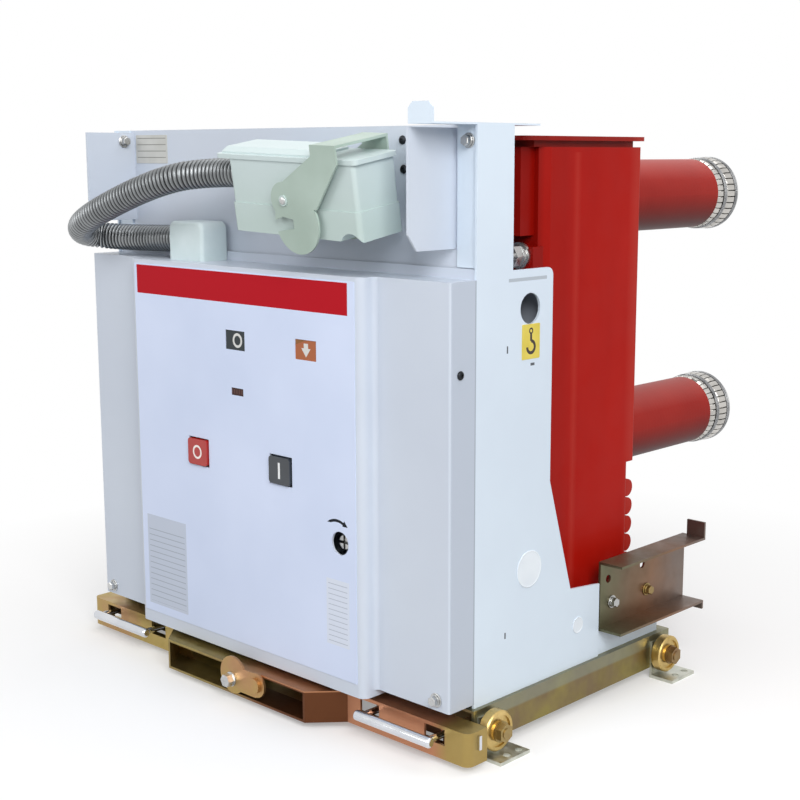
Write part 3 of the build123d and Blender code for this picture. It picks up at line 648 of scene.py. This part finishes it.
glass = Finish("window_glass", "3A4548", rough=0.18, coat=0.15, coat_rough=0.05, spec=0.2)
x, _, z = glass.drawing()
orange = glass.blend(inside(z - x * 0.35, 407.0, 420.0), hue("A9603A"), hue("8C5A2E"))
tone = glass.blend(x > SPRING_WINDOW_FROM, hue("2A3236"), orange)
tone = glass.blend(z < COUNTER_TOP, tone, hue("35130E"))
rim = ring_mask(x, z, CIRCLE_MIDDLE, 8.6, 5.6)
head = tip_mask(x, z, SPRING_HEAD, -math.pi / 2, 10.0, 7.6)
signs = (rim + patch(x, z, *STEM) + head).clamp()
tone = glass.blend(signs, tone, hue("D5D5D2"))
wheels = inside((x / DIGIT_PITCH).fraction(), 0.25, 0.75)
digits = wheels * inside(z, DIGIT_LOW, DIGIT_HIGH) * (z < COUNTER_TOP)
glass.feed("Base Color", glass.blend(digits, tone, hue("55332A")))
glass.bump(glass.noise(300.0, 1.0), 0.00002, 0.2)
show(glass, "indicator_windows")

# %% [markdown]
# The hose is a strip of steel wound into a corrugated tube. Its line is one smooth spline
# steered by the route's points, from the gland to the parked plug. It is walked once as a
# plain mesh, which is removed again.

# %% Hose line
def spline(name, points):
    """A smooth open curve steered by its points, in scene metres."""
    curve = bpy.data.curves.new(name, "CURVE")
    curve.dimensions = "3D"
    curve.resolution_u = 16
    line = curve.splines.new("NURBS")
    line.points.add(len(points) - 1)
    for spot, p in zip(line.points, points):
        spot.co = (*p, 1.0)
    line.order_u = 3
    line.use_endpoint_u = True
    return add_object(name, curve)


def plain_mesh(thing, name):
    """The evaluated object as a mesh object without modifiers."""
    bpy.context.view_layer.update()
    ready = thing.evaluated_get(bpy.context.evaluated_depsgraph_get())
    return add_object(name, bpy.data.meshes.new_from_object(ready))


route = [at(*p) for p in (
    (-158.0, 22.0, 549.0), (-300.0, 22.0, 544.0), (-296.0, -56.0, 558.0),
    (-106.0, -47.0, 624.0), (-22.28, -16.03, 633.37), (27.69, -15.73, 631.65))]
hose_line = spline("hose_line", route)
walked = plain_mesh(hose_line, "hose_walk")
bpy.data.objects.remove(walked)

# %% [markdown]
# Geometry Nodes do the repeated work in this file. The class below starts a tree with named
# inputs for its sizes, ends it in Realize Instances and Set Material, and runs it on an
# object to leave a plain mesh.

# %% Geometry Nodes from a script
class Recipe(Graph):
    """A Geometry Nodes tree with named inputs."""

    def __init__(self, name):
        super().__init__(bpy.data.node_groups.new(name, "GeometryNodeTree"))
        for way in ("INPUT", "OUTPUT"):
            self.tree.interface.new_socket("Geometry", in_out=way,
                                           socket_type="NodeSocketGeometry")
        self.entry = self.tree.nodes.new("NodeGroupInput")
        self.exit = self.tree.nodes.new("NodeGroupOutput")
        self.sizes = {}

    def size(self, name, value, kind="NodeSocketFloat"):
        """A named input with the value that the modifier gives it."""
        socket = self.tree.interface.new_socket(name, in_out="INPUT", socket_type=kind)
        self.sizes[socket.identifier] = value
        return Signal(self, self.entry.outputs[name])

    def shape(self):
        return Signal(self, self.entry.outputs["Geometry"])

    def serve(self, geometry, finish):
        """Make the instances real, give them their finish and end the tree."""
        real = self.add("GeometryNodeRealizeInstances", {}, [geometry])
        done = self.add("GeometryNodeSetMaterial", {}, {"Geometry": real,
                                                         "Material": finish.material})
        self.tree.links.new(done.socket, self.exit.inputs[0])

    def cook(self, thing, name):
        """Run the tree on an object and keep the result as a plain mesh object."""
        step = thing.modifiers.new(self.tree.name, "NODES")
        step.node_group = self.tree
        for identifier, value in self.sizes.items():
            step[identifier] = value
        result = plain_mesh(thing, name)
        bpy.data.objects.remove(thing)
        print(name, len(result.data.polygons), "faces")
        return result


print("recipe ready")

# %% [markdown]
# Corrugated steel mirrors its surroundings on every crest, and its grooves get painted shade.
# The nodes walk along the hose's line, swell and shrink the radius like a wave for the ridges,
# and skin it with a round profile. The swell is stored as the attribute `crest`, so that it
# also drives the colour and the roughness, with some grime out of a noise. Its colour is also
# paler towards its left end.

# %% Corrugated hose
HOSE_RADIUS = 0.017
GROOVE = 0.0024
RIDGES = 86
STEPS_PER_RIDGE = 6

hose_steel = Finish("hose_steel", "8A8C8D", rough=0.3, metal=0.95)
crest = hose_steel.add("ShaderNodeAttribute", {"attribute_name": "crest"}, out="Fac")
grime = hose_steel.clouds(60.0, 3.0, low=0.0, high=0.3)
level = (crest - grime * 0.5).clamp()
x, _, _ = hose_steel.drawing()
spot = x + 30 * hose_steel.noise(20.0, 2.0)
# Paler towards the left end.
paler_part = hose_steel.range(spot, -290.0, -190.0, 1.0, 0.35)
bright = hose_steel.blend(paler_part, hue("7C8082"), hue("B4B7B9"))
# Painted shade: the grooves go near black, and the crests stay bright metal.
hose_steel.feed("Base Color", hose_steel.blend(level, hue("1D1E20"), bright))
hose_steel.feed("Roughness", 0.55 - level * 0.3)

walk = Recipe("corrugate")
ridges = walk.size("Ridges", float(RIDGES))
outer = walk.size("Crest radius", HOSE_RADIUS)
dip = walk.size("Groove depth", GROOVE)
steps = walk.size("Steps", RIDGES * STEPS_PER_RIDGE + 1, "NodeSocketInt")
line = walk.add("GeometryNodeResampleCurve", {}, {"Curve": walk.shape(), "Count": steps})
along = walk.add("GeometryNodeSplineParameter", {}, out="Factor")
swell = ((along * ridges * (2 * math.pi)).wave() * 0.5 + 0.5).power(0.7)
line = walk.add("GeometryNodeStoreNamedAttribute", {"data_type": "FLOAT", "domain": "POINT"},
                {"Geometry": line, "Name": "crest", "Value": swell})
ring = walk.add("GeometryNodeCurvePrimitiveCircle", {}, {"Resolution": 24, "Radius": 1.0})
skin = walk.add("GeometryNodeCurveToMesh", {}, {"Curve": line, "Profile Curve": ring,
                                                "Scale": outer - dip + dip * swell,
                                                "Fill Caps": True})
skin = walk.add("GeometryNodeSetShadeSmooth", {}, {"Geometry": skin})
walk.serve(skin, hose_steel)
hose = walk.cook(hose_line, "hose_corrugated")
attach(hose, "breaker")
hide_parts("hose")

# %% [markdown]
# Each arm ends in a ring of separate fingers. A finger is a bar of copper with a hooked
# tail, a waist for the spring and a rounded nose that touches the stud. One finger is drawn
# as a side view, thickened and bevelled, and then Geometry Nodes set it round a circle.

# %% One contact finger
FINGER_WIDTH = 7.1
FINGER_BEVEL = 0.5


def mesh_data(name, mesh):
    """What was built so far as finished mesh data."""
    data = bpy.data.meshes.new(name)
    mesh.to_mesh(data)
    mesh.free()
    return data


def bar(name, outline, thick, round_by):
    """A flat outline in millimetres (along Y, out Z) made a bevelled bar centred on X."""
    mesh = bmesh.new()
    front = [mesh.verts.new((-thick / 2000, y / 1000, z / 1000)) for y, z in outline]
    back = [mesh.verts.new((thick / 2000, y / 1000, z / 1000)) for y, z in outline]
    mesh.faces.new(front)
    mesh.faces.new(list(reversed(back)))
    for i in range(len(outline)):
        j = (i + 1) % len(outline)
        mesh.faces.new((front[j], front[i], back[i], back[j]))
    bmesh.ops.recalc_face_normals(mesh, faces=mesh.faces)
    bmesh.ops.bevel(mesh, geom=mesh.edges, offset=round_by / 1000, segments=1,
                    affect="EDGES", clamp_overlap=True)
    return add_object(name, mesh_data(name, mesh))


finger_outline = [(2, 32), (2, 44), (6, 46.5), (13, 46.5), (14, 44.5), (21, 44.5), (22, 47.2),
                  (28, 48.6), (38, 48.6), (40, 45.5), (46, 45.5), (47, 47.4), (51, 46),
                  (54, 41), (54, 31), (46, 25), (40, 25), (34, 31)]
finger = bar("finger_part", finger_outline, FINGER_WIDTH, FINGER_BEVEL)
print("finger:", len(finger.data.polygons), "faces")

# %% [markdown]
# A garter spring is a wire coil closed into a ring; it squeezes the fingers. Its coil is
# small, so each turn is one little ring, and the rings stand in a circle. The same tree
# serves both: a circle of points, something on each point, made real at the end.

# %% Fingers and springs round each arm
FINGERS = 36
COIL_RADIUS = 0.0014
WIRE_RADIUS = 0.0005
COIL_SIDES = 7
WIRE_SIDES = 5


def around(name, part, count, radius, finish, thing_name):
    """Copies of a part in a circle round the Y axis, as one plain mesh object."""
    ring = Recipe(name)
    number = ring.size("Count", count, "NodeSocketInt")
    reach = ring.size("Radius", radius)
    loop = ring.add("GeometryNodeMeshCircle", {}, {"Vertices": number, "Radius": 1.0})
    spots = ring.add("GeometryNodeMeshToPoints", {}, {"Mesh": loop})
    order = ring.add("GeometryNodeInputIndex")
    angle = order * (2 * math.pi) / number
    away = ring.add("ShaderNodeCombineXYZ", {}, [angle.wave() * reach, 0.0,
                                                  angle.cosine() * reach])
    turn = ring.add("ShaderNodeCombineXYZ", {}, [0.0, angle, 0.0])
    spots = ring.add("GeometryNodeSetPosition", {}, {"Geometry": spots, "Position": away})
    source = ring.add("GeometryNodeObjectInfo", {}, {"Object": part}, "Geometry")
    placed = ring.add("GeometryNodeInstanceOnPoints", {}, {"Points": spots, "Instance": source,
                                                           "Rotation": turn})
    ring.serve(placed, finish)
    seed = add_object(thing_name + "_seed", bpy.data.meshes.new(thing_name + "_seed"))
    return ring.cook(seed, thing_name)


def small_ring(name, ring_radius, wire):
    """One turn of spring wire, standing across the X axis."""
    mesh = bmesh.new()
    for i in range(COIL_SIDES):
        a = 2 * math.pi * i / COIL_SIDES
        for j in range(WIRE_SIDES):
            b = 2 * math.pi * j / WIRE_SIDES
            r = ring_radius + wire * math.cos(b)
            mesh.verts.new((wire * math.sin(b), r * math.cos(a), r * math.sin(a)))
    mesh.verts.ensure_lookup_table()
    for i in range(COIL_SIDES):
        here, there = i * WIRE_SIDES, (i + 1) % COIL_SIDES * WIRE_SIDES
        for j in range(WIRE_SIDES):
            m = (j + 1) % WIRE_SIDES
            corners = (here + j, there + j, there + m, here + m)
            mesh.faces.new([mesh.verts[corner] for corner in corners])
    bmesh.ops.recalc_face_normals(mesh, faces=mesh.faces)
    return add_object(name, mesh_data(name, mesh))


coil = small_ring("spring_part", COIL_RADIUS, WIRE_RADIUS)
finger_ring = around("finger_circle", finger, FINGERS, 0.0, silver, "finger_ring")
spring_steel = metal("spring_steel", "B8B9BA", "8A8B8D", 0.26)
spring_rear = around("spring_circle", coil, 230, 0.0466, spring_steel, "spring_rear")
spring_nose = around("spring_circle_nose", coil, 234, 0.0475, spring_steel, "spring_nose")

# %% [markdown]
# The six contacts are copies of one assembly, set at the ends of the arms. Behind the
# fingers sits a hub that they hook on. It is turned, so it is drawn as a profile and spun.

# %% Six contacts
ARM_END = 604.0
PHASES = (("left", -210.0), ("middle", 0.0), ("right", 210.0))
SPRING_PLACES = ((spring_rear, 15.8), (spring_rear, 19.4), (spring_nose, 41.4),
                 (spring_nose, 45.0))


def turned(name, profile, facets=48):
    """A profile of (along Y, radius) in millimetres spun round the Y axis."""
    mesh = bmesh.new()
    rows = []
    for i in range(facets):
        a = 2 * math.pi * i / facets
        rows.append([mesh.verts.new((r / 1000 * math.sin(a), y / 1000, r / 1000 * math.cos(a)))
                     for y, r in profile])
    for i in range(facets):
        here, there = rows[i], rows[(i + 1) % facets]
        for j in range(len(profile) - 1):
            mesh.faces.new((here[j], here[j + 1], there[j + 1], there[j]))
    bmesh.ops.remove_doubles(mesh, verts=mesh.verts, dist=1e-6)
    bmesh.ops.recalc_face_normals(mesh, faces=mesh.faces)
    return mesh_data(name, mesh)


def joined(name, parts):
    """Copies of meshes at given places, in one mesh: parts are (mesh, matrix, finish)."""
    mesh = bmesh.new()
    finishes = []
    for data, matrix, finish in parts:
        if finish not in finishes:
            finishes.append(finish)
        piece = data.copy()
        piece.transform(matrix)
        start = len(mesh.faces)
        mesh.from_mesh(piece)
        mesh.faces.ensure_lookup_table()
        for face in mesh.faces[start:]:
            face.material_index = finishes.index(finish)
        bpy.data.meshes.remove(piece)
    data = mesh_data(name, mesh)
    for finish in finishes:
        data.materials.append(finish.material)
    return add_object(name, data)


hub = turned("hub", [(0, 0), (0, 40), (3, 40), (3, 31), (18, 31), (18, 43.6), (30, 43.6),
                     (30, 0)])
for level, height in (("upper", UPPER_ARM), ("lower", LOWER_ARM)):
    for place, across in PHASES:
        seat = Matrix.Translation(at(across, ARM_END, height))
        parts = [(finger_ring.data, seat, silver), (hub, seat, silver)]
        for spring, along in SPRING_PLACES:
            shift = Matrix.Translation(at(across, ARM_END + along, height))
            parts.append((spring.data, shift, spring_steel))
        contact = joined("contact_fingers_" + level + "_" + place, parts)
        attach(contact, "breaker")
        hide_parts("contact_" + level + "_" + place)
print("contact:", len(contact.data.polygons), "faces each")
for thing in (finger, coil, finger_ring, spring_rear, spring_nose):
    bpy.data.objects.remove(thing)

# %% [markdown]
# Bolts, screws and blanking caps repeat, so each is modelled once, lying along Y. A bolt is
# a washer, a split ring and a hexagon head, a screw is a dome with a socket, and a cap is a
# shallow disc with a rolled edge. All are turned, a hexagon with only six facets.

# %% Fastener parts
def part_object(name, *shapes):
    """Turned shapes in one small object, to be used as an instance."""
    here = Matrix.Identity(4)
    return joined(name, [(shape, here, bright_zinc) for shape in shapes])


washer = turned("washer", [(0, 0), (0, 7.6), (0.4, 8.0), (1.3, 8.0), (1.6, 7.6), (1.6, 0)], 24)
split_ring = turned("split_ring", [(1.6, 0), (1.6, 5.9), (2.0, 6.2), (3.2, 6.2), (3.5, 5.9),
                                   (3.5, 0)], 20)
head = turned("head", [(3.5, 0), (3.5, 5.6), (3.8, 5.9), (7.6, 5.9), (8.5, 4.9), (8.5, 0)], 6)
dome = turned("dome", [(0, 0), (0, 4.6), (0.6, 4.9), (1.6, 4.5), (2.5, 3.3), (2.8, 1.9),
                       (1.7, 1.5), (1.7, 0)], 20)
wide_disc = turned("cap", [(0, 0), (0, 21.2), (0.7, 21.4), (1.1, 20.6), (0.7, 19.2),
                           (0.7, 0)], 56)
small_disc = turned("cap_small", [(0, 0), (0, 9.6), (0.7, 9.8), (1.0, 9.2), (0.6, 8.3),
                                  (0.6, 0)], 40)
hex_bolt = part_object("hex_bolt_part", washer, split_ring, head)
screw = part_object("screw_part", dome)
large_cap = part_object("large_cap_part", wide_disc)
small_cap = part_object("small_cap_part", small_disc)
print("bolt:", len(hex_bolt.data.polygons), "faces")

# %% [markdown]
# Geometry Nodes set the parts on their places: the places are the vertices of a loose mesh,
# and one angle turns the part to the front or to a side. The places were read off the
# photograph on the faces that carry them. The left side of the frame repeats the right one.

# %% Fasteners in their places
TO_FRONT = math.pi
TO_RIGHT = -math.pi / 2
TO_LEFT = math.pi / 2


def scatter(name, part, spots, turn, finish):
    """The same part on each spot, turned one way, as one plain mesh."""
    field = Recipe(name + "_tree")
    angle = field.size("Turn", turn)
    spin = field.add("ShaderNodeCombineXYZ", {}, [0.0, 0.0, angle])
    source = field.add("GeometryNodeObjectInfo", {}, {"Object": part}, "Geometry")
    placed = field.add("GeometryNodeInstanceOnPoints", {}, {
        "Points": field.shape(), "Instance": source, "Rotation": spin})
    field.serve(placed, finish)
    cloud = bpy.data.meshes.new(name + "_spots")
    cloud.from_pydata([at(*spot) for spot in spots], [], [])
    piece = field.cook(add_object(name + "_spots", cloud), name)
    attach(piece, "breaker")
    return piece


black_screw = metal("black_screw", "3C3E42", "26282B", 0.4)
cap_white = Finish("cap_white", "E6EDF4", rough=0.3, coat=0.2, coat_rough=0.2)
cap_white.feed("Base Color", cap_white.mottle("DEE6EF", "EAF1F7", 20.0, 2.0))
scatter("cover_bolts", hex_bolt, [(-300, 0, 72), (300, 0, 72)], TO_FRONT, bright_zinc)
scatter("ear_bolt_right", hex_bolt, [(305, 43, 667)], TO_FRONT, bright_zinc)
scatter("ear_bolt_left", hex_bolt, [(-282.5, 29, 669)], TO_RIGHT, bright_zinc)
scatter("wall_screws", screw, [(207, 46, 668), (208.7, 46, 637)], TO_FRONT, black_screw)
for side, across, turn in (("right", SIDE_FACE, TO_RIGHT), ("left", -SIDE_FACE, TO_LEFT)):
    scatter("channel_bolt_front_" + side, hex_bolt, [(across, 292.5, 117.6)], turn, bright_zinc)
    scatter("channel_bolt_rear_" + side, hex_bolt, [(across, 366, 116.5)], turn, bolt_zinc)
    scatter("flank_screws_" + side, screw, [(across, 15, 427)], turn, black_screw)
    scatter("side_cap_" + side, large_cap, [(across, 132.5, 193.7)], turn, cap_white)
    scatter("side_cap_low_" + side, small_cap, [(across, 225, 104.7)], turn, cap_white)
for part in (hex_bolt, screw, large_cap, small_cap):
    bpy.data.objects.remove(part)

# %% [markdown]
# The lever of the plug turns on two round pins. Each ends in a bright domed rivet. The plug
# leans back, so the rivet is laid along the lever's axis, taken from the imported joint.

# %% Plug rivets
PIN_REACH = 0.041

hinge = next(j for j in frame["record"]["behaviour"]["joints"] if j["name"] == "plug_lever_turn")
pivot, axis = Vector(hinge["pos_m"]), Vector(hinge["axis"]).normalized()
rivet = turned("rivet", [(-1, 0), (-1, 3.4), (0, 4.2), (0.8, 3.9), (1.7, 2.6), (2.1, 0)], 24)
ends = []
for sign in (1, -1):
    lie = (axis * sign).to_track_quat("Y", "Z").to_matrix().to_4x4()
    shift = Matrix.Translation(pivot + axis * sign * PIN_REACH)
    ends.append((rivet, shift @ lie, bright_zinc))
rivets = joined("plug_rivets", ends)
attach(rivets, "breaker")
print("rivets at", [round(v, 3) for v in pivot + axis * PIN_REACH])

# %% [markdown]
# Two kinds of thin plate are stuck on: a blank ruled plate on the wall and a small yellow
# plate with a hook by each lifting hole. Each is a flat slab with rounded corners, and the
# rules and the hook are masks.

# %% Stuck-on plates
CORNER_STEPS = 4


def slab(name, corner_a, corner_b, thin_axis, radius):
    """A thin plate between two corners in millimetres, rounded at its four corners."""
    low = [min(p, q) for p, q in zip(corner_a, corner_b)]
    high = [max(p, q) for p, q in zip(corner_a, corner_b)]
    wide, tall = [k for k in range(3) if k != thin_axis]
    left, right = low[wide] + radius, high[wide] - radius
    bottom, top = low[tall] + radius, high[tall] - radius
    rim = []
    for u, v, start in ((right, top, 0), (left, top, 90), (left, bottom, 180),
                        (right, bottom, 270)):
        for step in range(CORNER_STEPS + 1):
            a = math.radians(start + step * 90 / CORNER_STEPS)
            rim.append((u + radius * math.cos(a), v + radius * math.sin(a)))
    mesh = bmesh.new()
    loops = []
    for level in (low[thin_axis], high[thin_axis]):
        loop = []
        for u, v in rim:
            p = [0.0, 0.0, 0.0]
            p[wide], p[tall], p[thin_axis] = u, v, level
            loop.append(mesh.verts.new(at(*p)))
        loops.append(loop)
    mesh.faces.new(loops[0])
    mesh.faces.new(list(reversed(loops[1])))
    for i in range(len(rim)):
        j = (i + 1) % len(rim)
        mesh.faces.new((loops[0][j], loops[0][i], loops[1][i], loops[1][j]))
    bmesh.ops.recalc_face_normals(mesh, faces=mesh.faces)
    thing = add_object(name, mesh_data(name, mesh))
    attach(thing, "breaker")
    return thing


WALL_RULES = (-276.0, -215.0, 645.0, 674.0)
HOOK_MIDDLE = (130.3, 451.8)
HOOK_THICK = 0.4

blank = Finish("blank_plate", "C3C3BF", rough=0.45)
x, _, z = blank.drawing()
tone = blank.mottle("BDBDB8", "C9C9C5", 40.0, 2.0)
blank.feed("Base Color", blank.blend(ruled(x, z, WALL_RULES, 8.1), tone, hue("85867F")))
plate = slab("wall_plate", (-279, 45.5, 641), (-212, 46, 677), 1, 1.5)
plate.data.materials.append(blank.material)

hook_yellow = Finish("hook_plate", "DCC84F", rough=0.4, coat=0.1)
_, y, z = hook_yellow.drawing()
u, v = y - HOOK_MIDDLE[0], z - HOOK_MIDDLE[1]
bend = ring_mask(u, v, (0.0, -6.0), 8.3, 4.7) * ((u > 0.0) + (v < -6.0)).clamp()
shank = (u.distance() < 1.7) * inside(v, 0.5, 9.0)
eye = ring_mask(u, v, (0.0, 11.6), 3.6, 1.7)
tone = hook_yellow.mottle("D6C146", "E2CF5B", 50.0, 2.0)
picture = (bend + shank + eye).clamp()
hook_yellow.feed("Base Color", hook_yellow.blend(picture, tone, hue("2A1812")))
for side, across in (("right", SIDE_FACE), ("left", -SIDE_FACE - HOOK_THICK)):
    plate = slab("hook_plate_" + side, (across, 115, 432.5),
                 (across + HOOK_THICK, 145.6, 471), 0, 1.2)
    plate.data.materials.append(hook_yellow.material)
print("plates done")

# %% [markdown]
# The floor is one large plain sheet. It keeps the shadow near the object and fades to pure
# white further out, where it meets the white world. That white is for the camera and for
# mirror rays alone: the light that falls back onto the object meets a grey floor.

# %% Floor
FLOOR_HALF = 6
WHITE_FROM = 0.4
WHITE_AT = 0.95

floor_mesh = bpy.data.meshes.new("floor")
corners = [(u * FLOOR_HALF, v * FLOOR_HALF, 0) for u, v in ((-1, -1), (1, -1), (1, 1), (-1, 1))]
floor_mesh.from_pydata(corners, [], [(0, 1, 2, 3)])
floor = add_object("floor", floor_mesh)
floor_finish = Finish("floor_white", "F4F4F4", rough=0.9, spec=0.1)
straight = floor_finish.add("ShaderNodeLightPath", out="Is Camera Ray")
mirrored = floor_finish.add("ShaderNodeLightPath", out="Is Glossy Ray")
watched = (straight + mirrored).clamp()
floor_finish.feed("Base Color", floor_finish.blend(watched, hue("A8A8A8"), hue("FAFAFA")))
x, y, _ = floor_finish.axes()
away = (x.square() + y.square()).root()
far = floor_finish.range(away, WHITE_FROM, WHITE_AT, 0.3, 1.0)
white = floor_finish.add("ShaderNodeEmission", {}, {"Color": (1, 1, 1, 1), "Strength": 1.0})
painted = Signal(floor_finish, floor_finish.shader.outputs[0])
mixed = floor_finish.add("ShaderNodeMixShader", {}, [far * watched, painted, white])
output = floor_finish.tree.nodes["Material Output"]
floor_finish.tree.links.new(mixed.socket, output.inputs["Surface"])
floor_mesh.materials.append(floor_finish.material)
print("floor", 2 * FLOOR_HALF, "m wide")

# %% [markdown]
# The light in the photograph is soft and even, with the right-hand side brighter than the
# front. A pale world fills the shadows, and three large lamps stand to the right, in front
# and above. Camera, mirror and glass rays see a white world, so background and metal agree.

# %% World and lamps
AMBIENT = 0.42

world = bpy.data.worlds.new("studio")
world.use_nodes = True
bpy.context.scene.world = world
sky = Graph(world.node_tree)
seen = sum(sky.add("ShaderNodeLightPath", out="Is " + kind + " Ray")
           for kind in ("Camera", "Glossy", "Transmission")).clamp()
back = world.node_tree.nodes["Background"]
world.node_tree.links.new((seen * (1 - AMBIENT) + AMBIENT).socket, back.inputs["Strength"])
back.inputs["Color"].default_value = (1, 1, 1, 1)


def lamp(name, place, target, wide, watts):
    """A square lamp at a place in metres, facing a target."""
    light = bpy.data.lights.new(name, "AREA")
    light.shape = "SQUARE"
    light.size = wide
    light.energy = watts
    thing = add_object(name, light)
    thing.location = place
    thing.rotation_euler = (Vector(target) - Vector(place)).to_track_quat("-Z", "Y").to_euler()
    print(name, watts, "W")


lamp("right_lamp", (2.4, -1.7, 2.0), (0, 0, 0.35), 1.6, 76)
lamp("front_lamp", (-1.0, -2.8, 1.8), (0, 0, 0.35), 1.8, 26)
lamp("top_lamp", (0.4, 0.8, 3.0), (0, 0, 0.3), 2.0, 27)

bpy.context.scene.view_settings.view_transform = "Standard"
